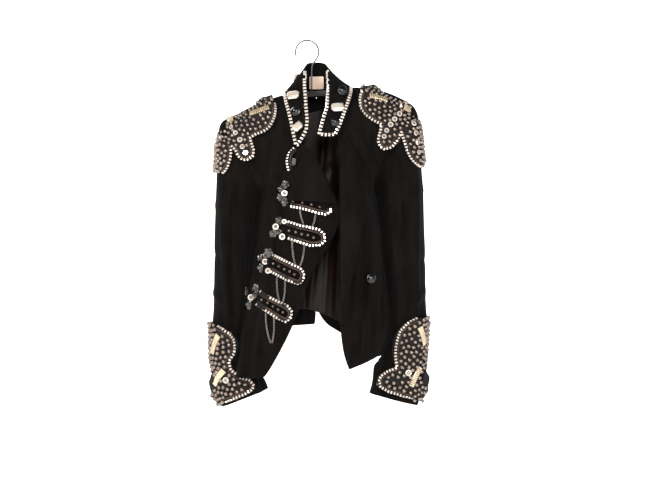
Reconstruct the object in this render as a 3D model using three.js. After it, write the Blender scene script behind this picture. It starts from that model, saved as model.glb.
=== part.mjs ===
// Beaded military jacket, hung open on a slim hanger.
// Millimetres, +Z up, -Y towards the viewer. The origin is the underside of the hook's crown, where
// the rail sits. Right and left are the wearer's, so right lies at -X.

import * as THREE from 'three';
import { mergeVertices } from 'three/addons/utils/BufferGeometryUtils.js';

// Driving dimensions

const SEAM = 0.3; // gap between two sewn pieces
const WOOL = 2.2; // wall of the wool with its facing
const SATIN = 1.0; // wall of the lining
const BODY_MID_X = 18; // the jacket hangs a little to one side of the hook
const BACK_DEPTH = 74;
const PATCH_THICK = 3; // beaded ground
const BEAD_RISE = 3.2; // how far a stud stands out of the ground
const CORD_RADIUS = 1.6; // fine chains
const FROG_THICK = 4.5;
const HOOK_WIRE = 1.7; // radius of the hook's wire
const HOOK_RADIUS = 22;

// The right front, a row for each level from the shoulder seam to the hem.
// edge: neckline, roll line and front edge. side: side seam. Armhole rows have no side values.
const RIGHT_FRONT = [
  { edgeX: -51, edgeY: -2, edgeZ: -109 },
  { edgeX: -42, edgeY: -25, edgeZ: -128 },
  { edgeX: -34, edgeY: -44, edgeZ: -160 },
  { edgeX: -20, edgeY: -60, edgeZ: -208 },
  { edgeX: 12, edgeY: -76, edgeZ: -222 },
  { edgeX: 27, edgeY: -82, edgeZ: -252 },
  { edgeX: 46, edgeY: -86, edgeZ: -292 },
  { edgeX: 64, edgeY: -88, edgeZ: -328, sideX: -104, sideY: 0, sideZ: -340 },
  { edgeX: 69, edgeY: -88, edgeZ: -352, sideX: -106, sideY: 0, sideZ: -372 },
  { edgeX: 58, edgeY: -88, edgeZ: -384, sideX: -109, sideY: 0, sideZ: -406 },
  { edgeX: 44, edgeY: -88, edgeZ: -412, sideX: -112, sideY: 0, sideZ: -436 },
  { edgeX: 20, edgeY: -87, edgeZ: -448, sideX: -117, sideY: 0, sideZ: -474 },
  { edgeX: 4, edgeY: -86, edgeZ: -482, sideX: -122, sideY: 0, sideZ: -512 },
  { edgeX: -8, edgeY: -85, edgeZ: -520, sideX: -127, sideY: 0, sideZ: -548 },
  { edgeX: -22, edgeY: -84, edgeZ: -556, sideX: -132, sideY: 0, sideZ: -582 },
  { edgeX: -36, edgeY: -83, edgeZ: -590, sideX: -132, sideY: -16, sideZ: -612 },
  { edgeX: -62, edgeY: -82, edgeZ: -638, sideX: -136, sideY: -50, sideZ: -646 },
  { edgeX: -82, edgeY: -82, edgeZ: -671, sideX: -141, sideY: -56, sideZ: -672 },
];

// The left front, in the same columns.
const LEFT_FRONT = [
  { edgeX: 92, edgeY: -2, edgeZ: -93 },
  { edgeX: 86, edgeY: -24, edgeZ: -108 },
  { edgeX: 79, edgeY: -44, edgeZ: -132 },
  { edgeX: 69, edgeY: -61, edgeZ: -162 },
  { edgeX: 62, edgeY: -74, edgeZ: -196 },
  { edgeX: 64, edgeY: -90, edgeZ: -236 },
  { edgeX: 65, edgeY: -97, edgeZ: -280 },
  { edgeX: 65, edgeY: -99, edgeZ: -320, sideX: 141, sideY: 0, sideZ: -332 },
  { edgeX: 65, edgeY: -100, edgeZ: -352, sideX: 143, sideY: 0, sideZ: -364 },
  { edgeX: 65, edgeY: -100, edgeZ: -384, sideX: 146, sideY: 0, sideZ: -396 },
  { edgeX: 65, edgeY: -100, edgeZ: -416, sideX: 149, sideY: 0, sideZ: -428 },
  { edgeX: 65, edgeY: -99, edgeZ: -450, sideX: 153, sideY: 0, sideZ: -462 },
  { edgeX: 65, edgeY: -98, edgeZ: -486, sideX: 158, sideY: 0, sideZ: -494 },
  { edgeX: 65, edgeY: -97, edgeZ: -524, sideX: 163, sideY: 0, sideZ: -526 },
  { edgeX: 66, edgeY: -96, edgeZ: -560, sideX: 165, sideY: 0, sideZ: -556 },
  { edgeX: 68, edgeY: -95, edgeZ: -592, sideX: 165, sideY: 0, sideZ: -580 },
  { edgeX: 74, edgeY: -94, edgeZ: -630, sideX: 158, sideY: 0, sideZ: -606 },
  { edgeX: 84, edgeY: -93, edgeZ: -654, sideX: 142, sideY: 0, sideZ: -632 },
];

// Armhole ellipses, from the shoulder tip to the underarm.
const ARMHOLE_RIGHT = { tipX: -152, tipZ: -153, lowX: -98, lowZ: -312, half: 52 };
const ARMHOLE_LEFT = { tipX: 200, tipZ: -121, lowX: 134, lowZ: -302, half: 52 };
const ARMHOLE_ROWS = 7;

// How far the shoulder line rises above the straight line from its neck point to its tip.
const SHOULDER_CROWN_RIGHT = 4;
const SHOULDER_CROWN_LEFT = 8;

// Sleeves, a ring for each row: outer and inner end of the ring, and half its depth.
const RIGHT_SLEEVE = [
  { outX: -153, outZ: -153, inX: -99, inZ: -313, half: 52 },
  { outX: -170, outZ: -157, inX: -101, inZ: -319, half: 57 },
  { outX: -178, outZ: -168, inX: -103, inZ: -326, half: 59 },
  { outX: -180, outZ: -192, inX: -103, inZ: -334, half: 60 },
  { outX: -180, outZ: -228, inX: -105, inZ: -346, half: 59 },
  { outX: -181, outZ: -270, inX: -107, inZ: -364, half: 57 },
  { outX: -184, outZ: -330, inX: -110, inZ: -392, half: 54 },
  { outX: -188, outZ: -395, inX: -114, inZ: -430, half: 51 },
  { outX: -187, outZ: -465, inX: -120, inZ: -484, half: 47 },
  { outX: -188, outZ: -535, inX: -128, inZ: -543, half: 44 },
  { outX: -192, outZ: -576, inX: -133, inZ: -578, half: 42 },
  { outX: -197, outZ: -614, inX: -136, inZ: -612, half: 39 },
  { outX: -197, outZ: -648, inX: -114, inZ: -646, half: 35 },
  { outX: -190, outZ: -690, inX: -84, inZ: -674, half: 32 },
  { outX: -172, outZ: -735, inX: -76, inZ: -697, half: 30 },
];
const LEFT_SLEEVE = [
  { outX: 201, outZ: -121, inX: 135, inZ: -303, half: 52 },
  { outX: 215, outZ: -127, inX: 138, inZ: -309, half: 57 },
  { outX: 224, outZ: -144, inX: 141, inZ: -316, half: 59 },
  { outX: 228, outZ: -173, inX: 141, inZ: -326, half: 60 },
  { outX: 229, outZ: -216, inX: 143, inZ: -340, half: 59 },
  { outX: 231, outZ: -264, inX: 145, inZ: -360, half: 57 },
  { outX: 235, outZ: -328, inX: 148, inZ: -392, half: 54 },
  { outX: 238, outZ: -398, inX: 153, inZ: -434, half: 51 },
  { outX: 238, outZ: -468, inX: 160, inZ: -490, half: 47 },
  { outX: 239, outZ: -535, inX: 168, inZ: -543, half: 44 },
  { outX: 243, outZ: -578, inX: 172, inZ: -580, half: 42 },
  { outX: 245, outZ: -618, inX: 164, inZ: -618, half: 39 },
  { outX: 243, outZ: -652, inX: 136, inZ: -650, half: 35 },
  { outX: 236, outZ: -692, inX: 132, inZ: -682, half: 32 },
  { outX: 222, outZ: -732, inX: 123, inZ: -706, half: 30 },
];

// The stand collar, a row for each station from the right front end round the back to the left.
const COLLAR = [
  { lowX: -20, lowY: -72, lowZ: -224, topX: -1, topY: -68, topZ: -190 },
  { lowX: -27, lowY: -67, lowZ: -194, topX: 4, topY: -61, topZ: -166 },
  { lowX: -34, lowY: -60, lowZ: -170, topX: 3, topY: -54, topZ: -144 },
  { lowX: -40, lowY: -50, lowZ: -146, topX: 0, topY: -44, topZ: -118 },
  { lowX: -45, lowY: -36, lowZ: -124, topX: -3, topY: -30, topZ: -88 },
  { lowX: -49, lowY: -14, lowZ: -107, topX: -5, topY: -8, topZ: -62 },
  { lowX: -43, lowY: 18, lowZ: -98, topX: -4, topY: 18, topZ: -46 },
  { lowX: -18, lowY: 42, lowZ: -101, topX: 2, topY: 32, topZ: -40 },
  { lowX: 18, lowY: 50, lowZ: -104, topX: 18, topY: 36, topZ: -39 },
  { lowX: 56, lowY: 42, lowZ: -100, topX: 33, topY: 32, topZ: -40 },
  { lowX: 82, lowY: 18, lowZ: -90, topX: 40, topY: 18, topZ: -46 },
  { lowX: 91, lowY: -12, lowZ: -92, topX: 42, topY: -8, topZ: -60 },
  { lowX: 91, lowY: -34, lowZ: -108, topX: 42, topY: -30, topZ: -82 },
  { lowX: 85, lowY: -52, lowZ: -130, topX: 42, topY: -46, topZ: -108 },
  { lowX: 76, lowY: -68, lowZ: -156, topX: 38, topY: -60, topZ: -136 },
  { lowX: 67, lowY: -78, lowZ: -178, topX: 32, topY: -70, topZ: -160 },
  { lowX: 57, lowY: -84, lowZ: -198, topX: 20, topY: -79, topZ: -197 },
];

// Vector helpers

const vec = (x, y, z) => new THREE.Vector3(x, y, z);
const mix = (a, b, t) => a + (b - a) * t;
const mixPoint = (a, b, t) => a.clone().lerp(b, t);

// Normals of a grid of points, turned away from the core that coreOf gives for each point.
function gridNormals(grid, closedAcross, coreOf) {
  const rows = grid.length;
  const columns = grid[0].length;
  return grid.map((row, i) => row.map((point, j) => {
    const before = closedAcross ? row[(j + columns - 1) % columns] : row[Math.max(j - 1, 0)];
    const after = closedAcross ? row[(j + 1) % columns] : row[Math.min(j + 1, columns - 1)];
    const across = after.clone().sub(before);
    const down = grid[Math.min(i + 1, rows - 1)][j].clone().sub(grid[Math.max(i - 1, 0)][j]);
    const normal = across.cross(down).normalize();
    const away = point.clone().sub(coreOf(point, i, j));
    return normal.dot(away) < 0 ? normal.negate() : normal;
  }));
}

// A grid moved along its normals.
function movedOut(grid, normals, distance) {
  const far = typeof distance === 'function' ? distance : () => distance;
  return grid.map((row, i) => row.map((p, j) => p.clone().addScaledVector(normals[i][j], far(i, j))));
}

// One closed solid between an outer and an inner grid with the same rows and columns.
function wallBetween(outer, inner, closedAcross) {
  const rows = outer.length;
  const columns = outer[0].length;
  const positions = [...outer.flat(), ...inner.flat()].flatMap((p) => [p.x, p.y, p.z]);
  const out = (i, j) => i * columns + (j % columns);
  const inn = (i, j) => rows * columns + out(i, j);
  const index = [];
  const quad = (a, b, c, d) => index.push(a, b, c, a, c, d);
  const spans = closedAcross ? columns : columns - 1;
  for (let i = 0; i < rows - 1; i += 1) {
    for (let j = 0; j < spans; j += 1) {
      quad(out(i, j), out(i, j + 1), out(i + 1, j + 1), out(i + 1, j));
      quad(inn(i, j), inn(i + 1, j), inn(i + 1, j + 1), inn(i, j + 1));
    }
  }
  for (let j = 0; j < spans; j += 1) {
    quad(out(0, j), inn(0, j), inn(0, j + 1), out(0, j + 1));
    quad(out(rows - 1, j), out(rows - 1, j + 1), inn(rows - 1, j + 1), inn(rows - 1, j));
  }
  for (let i = 0; i < rows - 1 && !closedAcross; i += 1) {
    quad(out(i, 0), out(i + 1, 0), inn(i + 1, 0), inn(i, 0));
    quad(out(i, columns - 1), inn(i, columns - 1), inn(i + 1, columns - 1), out(i + 1, columns - 1));
  }
  return outwardSolid(positions, index);
}

// A geometry from points and triangles, with its faces turned outwards.
function outwardSolid(positions, index) {
  const geometry = new THREE.BufferGeometry();
  geometry.setAttribute('position', new THREE.Float32BufferAttribute(positions, 3));
  const corner = (k) => new THREE.Vector3().fromArray(positions, 3 * index[k]);
  let volume = 0;
  for (let k = 0; k < index.length; k += 3) {
    volume += corner(k).dot(corner(k + 1).cross(corner(k + 2)));
  }
  geometry.setIndex(volume > 0 ? index : index.slice().reverse());
  return mergeVertices(geometry);
}

// A sheet of the given wall whose outer face is the grid. Its inner face may be kept in place.
function clothSolid(grid, wall, closedAcross, coreOf, keep = (p) => p) {
  const normals = gridNormals(grid, closedAcross, coreOf);
  return wallBetween(grid.map((row) => row.map(keep)),
    movedOut(grid, normals, -wall).map((row) => row.map(keep)), closedAcross);
}

const scene = new THREE.Group();

function addMesh(name, geometry, finish) {
  const mesh = new THREE.Mesh(geometry, new THREE.MeshStandardMaterial(finish));
  mesh.name = name;
  scene.add(mesh);
  return mesh;
}

const wool = { color: '#0e0d10', roughness: 0.92, metalness: 0 };
const satin = { color: '#37322f', roughness: 0.45, metalness: 0 };
const beadedGround = { color: '#2c2521', roughness: 0.35, metalness: 0.4 };
const crystal = { color: '#d8d4cc', roughness: 0.08, metalness: 0.1 };
const silver = { color: '#b9bab8', roughness: 0.25, metalness: 1 };
const jet = { color: '#0a0b0d', roughness: 0.12, metalness: 0 };
const label = { color: '#b8a08c', roughness: 0.8, metalness: 0 };
const velvet = { color: '#161416', roughness: 0.95, metalness: 0 };
const chrome = { color: '#c9cbcc', roughness: 0.12, metalness: 1 };

// Body panels

const bodyCore = (p) => vec(BODY_MID_X, 0, p.z - 40);

function armholePoint(hole, turn, towards) {
  const along = (1 - Math.cos(turn)) / 2;
  return vec(mix(hole.tipX, hole.lowX, along), towards * hole.half * Math.sin(turn),
    mix(hole.tipZ, hole.lowZ, along));
}

// A level of a panel: a quarter oval from its front or back edge round to its side.
function panelLevel(edge, side, columns, bow) {
  const points = [];
  for (let j = 0; j <= columns; j += 1) {
    const turn = bow * (j / columns);
    const across = Math.sin(turn) / Math.sin(bow);
    const back = (Math.cos(turn) - Math.cos(bow)) / (1 - Math.cos(bow));
    points.push(vec(mix(edge.x, side.x, across), mix(side.y, edge.y, back), mix(edge.z, side.z, across)));
  }
  return points;
}

const PANEL_COLUMNS = 13;
const FULL_BOW = Math.PI / 2;

// How far round a level bends: hardly at the shoulder, a full quarter below the underarm.
const bowOf = (level) => mix(0.35, FULL_BOW, Math.min(level / (ARMHOLE_ROWS + 1), 1));

// Soft drape: shallow upright folds that deepen towards the hem.
function drape(point, level, levels, phase, depth) {
  const grow = Math.max(0, (level - ARMHOLE_ROWS) / (levels - ARMHOLE_ROWS));
  const wave = Math.sin(point.x / 15 + phase) + 0.6 * Math.sin(point.x / 8.5 - phase + point.z / 130);
  return point.clone().add(vec(0, depth * grow * wave, 0));
}

// A level's point lifted onto the rounded shoulder, which the first levels share.
function crowned(point, level, across, crown) {
  const share = Math.sin(Math.PI * across) * Math.max(0, 1 - level / 3);
  return point.clone().add(vec(0, 0, crown * share));
}

function frontGrid(rows, hole, phase, crown) {
  return rows.map((row, level) => {
    const edge = vec(row.edgeX, row.edgeY, row.edgeZ);
    const side = row.sideX === undefined
      ? armholePoint(hole, Math.PI * level / (ARMHOLE_ROWS - 1), -1)
      : vec(row.sideX, row.sideY, row.sideZ);
    if (level === 0) {
      edge.y = 0;
    }
    const points = panelLevel(edge, side, PANEL_COLUMNS, bowOf(level));
    return points.map((p, j) => {
      const away = Math.min(1, 4 * Math.min(j / PANEL_COLUMNS, 1 - j / PANEL_COLUMNS));
      const lifted = crowned(p, level, j / PANEL_COLUMNS, crown);
      return mixPoint(lifted, drape(lifted, level, rows.length, phase, 3.4), away);
    });
  });
}

const frontOnly = (p) => vec(p.x, Math.min(p.y, -SEAM / 2), p.z);
const backOnly = (p) => vec(p.x, Math.max(p.y, SEAM / 2), p.z);
const rightFrontGrid = frontGrid(RIGHT_FRONT, ARMHOLE_RIGHT, 0.4, SHOULDER_CROWN_RIGHT);
const leftFrontGrid = frontGrid(LEFT_FRONT, ARMHOLE_LEFT, 1.9, SHOULDER_CROWN_LEFT);

// The back, one grid a side from the centre seam to the side seam, in the fronts' levels.
const BACK_NECK_Z = -106;
const BACK_HEM_Z = -572;
const VENT_TOP_Z = -545;
const VENT_SPREAD_RIGHT = 3; // how far each side of the vent swings out at the hem
const VENT_SPREAD_LEFT = 20;

function backGrid(rows, hole, phase, crown) {
  const handed = hole.tipX < BODY_MID_X ? -1 : 1;
  const spread = handed < 0 ? VENT_SPREAD_RIGHT : VENT_SPREAD_LEFT;
  const sideLevels = rows.filter((row) => row.sideX !== undefined && row.sideY === 0);
  const levels = ARMHOLE_ROWS + sideLevels.length;
  const grid = [];
  for (let level = 0; level < levels; level += 1) {
    const down = level / (levels - 1);
    const low = sideLevels[level - ARMHOLE_ROWS];
    const side = low ? vec(low.sideX, 0, low.sideZ)
      : armholePoint(hole, Math.PI * level / (ARMHOLE_ROWS - 1), 1);
    const centreZ = mix(BACK_NECK_Z, BACK_HEM_Z, down);
    const vent = Math.max(0, (VENT_TOP_Z - centreZ) / (VENT_TOP_Z - BACK_HEM_Z)) * spread;
    const depth = mix(50, BACK_DEPTH, Math.min(1, down * 3));
    const centre = vec(BODY_MID_X + handed * (SEAM / 2 + vent), depth, centreZ);
    if (level === 0) {
      const neck = rows[0];
      const shoulder = vec(neck.edgeX, 0, neck.edgeZ);
      grid.push(neckAndShoulder(centre, shoulder, side, crown));
    } else {
      grid.push(panelLevel(centre, side, PANEL_COLUMNS, Math.max(bowOf(level), 0.9)).map((p, j) => {
        const away = Math.min(1, 4 * Math.min(j / PANEL_COLUMNS, 1 - j / PANEL_COLUMNS));
        const lifted = crowned(p, level, j / PANEL_COLUMNS, crown);
        return mixPoint(lifted, drape(lifted, level, levels, phase, 3), away);
      }));
    }
  }
  return grid;
}

// The back's top edge: round the neck to the shoulder point, then out along the shoulder.
function neckAndShoulder(centre, shoulder, tip, crown) {
  const NECK_COLUMNS = 5;
  const points = panelLevel(centre, shoulder, NECK_COLUMNS, FULL_BOW);
  for (let j = 1; j <= PANEL_COLUMNS - NECK_COLUMNS; j += 1) {
    const across = j / (PANEL_COLUMNS - NECK_COLUMNS);
    points.push(crowned(mixPoint(shoulder, tip, across), 0, across, crown));
  }
  return points;
}

const rightBackGrid = backGrid(RIGHT_FRONT, ARMHOLE_RIGHT, 2.6, SHOULDER_CROWN_RIGHT);
const leftBackGrid = backGrid(LEFT_FRONT, ARMHOLE_LEFT, 0.9, SHOULDER_CROWN_LEFT);

addMesh('front_right', clothSolid(rightFrontGrid, WOOL, false, bodyCore, frontOnly), wool);
addMesh('front_left', clothSolid(leftFrontGrid, WOOL, false, bodyCore, frontOnly), wool);
const rightOfSeam = (p) => vec(Math.min(p.x, BODY_MID_X - SEAM / 2), Math.max(p.y, SEAM / 2), p.z);
const leftOfSeam = (p) => vec(Math.max(p.x, BODY_MID_X + SEAM / 2), Math.max(p.y, SEAM / 2), p.z);
addMesh('back_right', clothSolid(rightBackGrid, WOOL, false, bodyCore, rightOfSeam), wool);
addMesh('back_left', clothSolid(leftBackGrid, WOOL, false, bodyCore, leftOfSeam), wool);

// Sleeves

const SLEEVE_COLUMNS = 18;
const SLEEVE_STEPS = 18;

// A row of a table between two of its rows.
function rowAt(table, place) {
  const i = Math.min(Math.floor(place), table.length - 2);
  const t = place - i;
  return Object.fromEntries(Object.keys(table[0]).map((key) => [key, mix(table[i][key], table[i + 1][key], t)]));
}

function sleeveRing(row, columns, crease) {
  const out = vec(row.outX, 0, row.outZ);
  const inn = vec(row.inX, 0, row.inZ);
  return Array.from({ length: columns }, (_, j) => {
    const turn = 2 * Math.PI * j / columns;
    const point = mixPoint(out, inn, (1 - Math.cos(turn)) / 2);
    point.y = -row.half * Math.sin(turn) * (1 + crease * Math.sin(3 * turn));
    return point;
  });
}

function sleeveGrid(table) {
  return Array.from({ length: SLEEVE_STEPS + 1 }, (_, i) => {
    const place = (table.length - 1) * i / SLEEVE_STEPS;
    const crease = i < 4 ? 0 : 0.05 * Math.sin(i * 1.7);
    return sleeveRing(rowAt(table, place), SLEEVE_COLUMNS, crease);
  });
}

function sleeveCore(table) {
  return (p, i) => {
    const row = rowAt(table, (table.length - 1) * i / SLEEVE_STEPS);
    return vec((row.outX + row.inX) / 2, 0, (row.outZ + row.inZ) / 2);
  };
}

const rightSleeveGrid = sleeveGrid(RIGHT_SLEEVE);
const leftSleeveGrid = sleeveGrid(LEFT_SLEEVE);
addMesh('sleeve_right', clothSolid(rightSleeveGrid, WOOL, true, sleeveCore(RIGHT_SLEEVE)), wool);
addMesh('sleeve_left', clothSolid(leftSleeveGrid, WOOL, true, sleeveCore(LEFT_SLEEVE)), wool);

// Collar

const COLLAR_WALL = 2.6;
const COLLAR_LIFT = 0.03; // share of the collar's height that its seam keeps clear of the body

const collarGrid = COLLAR.map((row) => {
  const low = vec(row.lowX, row.lowY, row.lowZ);
  const top = vec(row.topX, row.topY, row.topZ);
  return [0, 1, 2, 3, 4].map((k) => mixPoint(low, top, mix(COLLAR_LIFT, 1, k / 4)));
});
const collarCore = () => vec(BODY_MID_X, 0, -130);
addMesh('collar', clothSolid(collarGrid, COLLAR_WALL, false, collarCore), wool);

// What lies on the cloth is placed by looking at the cloth from outside, along a given direction.

const LOOK_FROM = 300;

function onCloth(names, inside, outwards) {
  const start = inside.clone().addScaledVector(outwards, LOOK_FROM);
  const ray = new THREE.Raycaster(start, outwards.clone().negate());
  return ray.intersectObjects(names.map((name) => scene.getObjectByName(name)), false)[0];
}

const FRONTWARD = vec(0, -1, 0);

// The point of the cloth that shows at x, z from the front, or else at the given depth.
function facePoint(names, x, z, otherwise) {
  const hit = onCloth(names, vec(x, 0, z), FRONTWARD);
  return hit ? hit.point : vec(x, otherwise, z);
}

// Beaded patches. A row for each slice: its point on the outline of the shoulder or sleeve, seen from
// the front, and its point on the scalloped border. The back of each patch mirrors its front.
const SHOULDER_PATCH_RIGHT = [
  { outX: -70, outZ: -117, rimX: -61, rimZ: -128 },
  { outX: -78, outZ: -121, rimX: -59, rimZ: -142 },
  { outX: -86, outZ: -125, rimX: -61, rimZ: -156 },
  { outX: -96, outZ: -129, rimX: -66, rimZ: -170 },
  { outX: -108, outZ: -134, rimX: -74, rimZ: -181 },
  { outX: -120, outZ: -139, rimX: -86, rimZ: -189 },
  { outX: -132, outZ: -144, rimX: -100, rimZ: -194 },
  { outX: -142, outZ: -149, rimX: -109, rimZ: -199 },
  { outX: -151, outZ: -153, rimX: -105, rimZ: -211 },
  { outX: -157, outZ: -155, rimX: -101, rimZ: -223 },
  { outX: -163, outZ: -157, rimX: -103, rimZ: -236 },
  { outX: -169, outZ: -161, rimX: -114, rimZ: -244 },
  { outX: -174, outZ: -168, rimX: -127, rimZ: -245 },
  { outX: -177, outZ: -180, rimX: -138, rimZ: -236 },
  { outX: -179, outZ: -194, rimX: -144, rimZ: -223 },
  { outX: -180, outZ: -207, rimX: -147, rimZ: -214 },
  { outX: -180, outZ: -221, rimX: -146, rimZ: -232 },
  { outX: -180, outZ: -236, rimX: -150, rimZ: -248 },
  { outX: -180, outZ: -250, rimX: -155, rimZ: -260 },
  { outX: -180, outZ: -262, rimX: -163, rimZ: -269 },
];
const SHOULDER_PATCH_LEFT = [
  { outX: 114, outZ: -94, rimX: 106, rimZ: -102 },
  { outX: 122, outZ: -96, rimX: 102, rimZ: -120 },
  { outX: 132, outZ: -98, rimX: 104, rimZ: -138 },
  { outX: 144, outZ: -100, rimX: 116, rimZ: -156 },
  { outX: 156, outZ: -103, rimX: 130, rimZ: -166 },
  { outX: 168, outZ: -107, rimX: 145, rimZ: -173 },
  { outX: 180, outZ: -112, rimX: 141, rimZ: -190 },
  { outX: 190, outZ: -116, rimX: 138, rimZ: -200 },
  { outX: 198, outZ: -120, rimX: 139, rimZ: -210 },
  { outX: 205, outZ: -123, rimX: 144, rimZ: -219 },
  { outX: 212, outZ: -127, rimX: 153, rimZ: -224 },
  { outX: 218, outZ: -134, rimX: 169, rimZ: -220 },
  { outX: 223, outZ: -144, rimX: 181, rimZ: -206 },
  { outX: 226, outZ: -158, rimX: 186, rimZ: -190 },
  { outX: 228, outZ: -174, rimX: 191, rimZ: -210 },
  { outX: 228, outZ: -192, rimX: 197, rimZ: -229 },
  { outX: 229, outZ: -210, rimX: 208, rimZ: -246 },
  { outX: 229, outZ: -226, rimX: 217, rimZ: -253 },
  { outX: 230, outZ: -240, rimX: 224, rimZ: -257 },
];
const CUFF_PATCH_RIGHT = [
  { outX: -190, outZ: -568, rimX: -174, rimZ: -569 },
  { outX: -192, outZ: -580, rimX: -162, rimZ: -576 },
  { outX: -194, outZ: -591, rimX: -150, rimZ: -585 },
  { outX: -195, outZ: -602, rimX: -142, rimZ: -598 },
  { outX: -196, outZ: -614, rimX: -140, rimZ: -612 },
  { outX: -196, outZ: -626, rimX: -142, rimZ: -627 },
  { outX: -196, outZ: -638, rimX: -152, rimZ: -642 },
  { outX: -195, outZ: -650, rimX: -148, rimZ: -656 },
  { outX: -193, outZ: -663, rimX: -132, rimZ: -670 },
  { outX: -191, outZ: -677, rimX: -112, rimZ: -676 },
  { outX: -188, outZ: -690, rimX: -103, rimZ: -688 },
  { outX: -184, outZ: -702, rimX: -106, rimZ: -699 },
  { outX: -180, outZ: -713, rimX: -122, rimZ: -709 },
  { outX: -177, outZ: -722, rimX: -146, rimZ: -719 },
  { outX: -175, outZ: -728, rimX: -160, rimZ: -725 },
];
const CUFF_PATCH_LEFT = [
  { outX: 240, outZ: -556, rimX: 216, rimZ: -553 },
  { outX: 241, outZ: -566, rimX: 197, rimZ: -563 },
  { outX: 243, outZ: -578, rimX: 183, rimZ: -579 },
  { outX: 244, outZ: -592, rimX: 177, rimZ: -597 },
  { outX: 244, outZ: -606, rimX: 174, rimZ: -612 },
  { outX: 244, outZ: -620, rimX: 173, rimZ: -628 },
  { outX: 243, outZ: -634, rimX: 174, rimZ: -642 },
  { outX: 242, outZ: -647, rimX: 177, rimZ: -651 },
  { outX: 241, outZ: -658, rimX: 158, rimZ: -659 },
  { outX: 240, outZ: -668, rimX: 145, rimZ: -669 },
  { outX: 237, outZ: -680, rimX: 141, rimZ: -680 },
  { outX: 234, outZ: -692, rimX: 144, rimZ: -694 },
  { outX: 230, outZ: -704, rimX: 161, rimZ: -704 },
  { outX: 227, outZ: -714, rimX: 187, rimZ: -712 },
  { outX: 225, outZ: -722, rimX: 208, rimZ: -719 },
];

const PATCH_ROWS = 7; // from the outline to the border, on each face
const TURN_SHARE = 0.4; // the first part of a slice, which turns round the outline
const DEEP_IN = 34; // how far inside the outline the turning directions start
const PATCH_GAP = 1;
const BESIDE_SEAM = 1; // looks are taken beside the shoulder seam, not into it

function patchPoint(row, names, t, face) {
  const out = vec(row.outX, 0, row.outZ);
  const rim = vec(row.rimX, 0, row.rimZ);
  const sideways = out.clone().sub(rim).normalize();
  const turn = Math.min(t / TURN_SHARE, 1) * Math.PI / 2;
  const direction = sideways.clone().multiplyScalar(Math.cos(turn)).add(vec(0, face * Math.sin(turn), 0));
  const inside = mixPoint(out, rim, t).addScaledVector(sideways, -DEEP_IN * Math.cos(turn));
  inside.y = face * BESIDE_SEAM;
  const aside = vec(-BESIDE_SEAM, 0, BESIDE_SEAM);
  const hit = onCloth(names, inside, direction) ?? onCloth(names, inside.add(aside), direction);
  if (!hit) {
    throw new Error('a patch leaves the cloth near ' + row.outX + ', ' + row.outZ + ' at ' + t);
  }
  return hit.point;
}

// Lifts a grid wherever the cloth between its points would stand closer than the clearance.
function liftClear(grid, normals, names, clearance) {
  const CLOSER_LOOKS = 3;
  const lift = grid.map((row) => row.map(() => 0));
  const at = (i, j) => grid[i][j].clone().addScaledVector(normals[i][j], lift[i][j]);
  for (let pass = 0; pass < CLOSER_LOOKS; pass += 1) {
    for (let i = 0; i < grid.length - 1; i += 1) {
      for (let j = 0; j < grid[0].length - 1; j += 1) {
        const corners = [[i, j], [i, j + 1], [i + 1, j], [i + 1, j + 1]];
        const short = shortfall(corners.map(([a, b]) => at(a, b)), corners.map(([a, b]) => normals[a][b]),
          names, clearance);
        corners.forEach(([a, b]) => { lift[a][b] += Math.max(0, short); });
      }
    }
  }
  return grid.map((row, i) => row.map((p, j) => at(i, j)));
}

// How much a four-cornered cell lacks of its clearance to the cloth below it.
function shortfall(corners, normals, names, clearance) {
  const PLACES = [0, 1 / 3, 2 / 3, 1];
  let worst = -Infinity;
  for (const s of PLACES) {
    for (const t of PLACES) {
      const blend = (list) => mixPoint(mixPoint(list[0], list[1], s), mixPoint(list[2], list[3], s), t);
      const point = blend(corners);
      const normal = blend(normals).normalize();
      const hit = onCloth(names, point, normal);
      if (hit) {
        worst = Math.max(worst, hit.point.clone().sub(point).dot(normal) + clearance);
      }
    }
  }
  return worst;
}

function beadedPatch(name, rows, names) {
  const grid = rows.map((row) => {
    const points = [];
    for (let k = -PATCH_ROWS; k <= PATCH_ROWS; k += 1) {
      points.push(patchPoint(row, names, Math.abs(k) / PATCH_ROWS, k < 0 ? -1 : 1));
    }
    return points;
  });
  const middle = (p, i) => vec((rows[i].outX + rows[i].rimX) / 2, 0, (rows[i].outZ + rows[i].rimZ) / 2);
  const normals = gridNormals(grid, false, middle);
  const under = liftClear(grid, normals, names, PATCH_GAP);
  const beads = (i, j) => PATCH_THICK + ((i + j) % 2 ? BEAD_RISE : 0);
  addMesh(name, wallBetween(movedOut(under, normals, beads), under, false), beadedGround);
}

beadedPatch('shoulder_patch_right', SHOULDER_PATCH_RIGHT, ['front_right', 'back_right', 'sleeve_right']);
beadedPatch('shoulder_patch_left', SHOULDER_PATCH_LEFT, ['front_left', 'back_left', 'sleeve_left']);
beadedPatch('cuff_patch_right', CUFF_PATCH_RIGHT, ['sleeve_right']);
beadedPatch('cuff_patch_left', CUFF_PATCH_LEFT, ['sleeve_left']);

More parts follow.
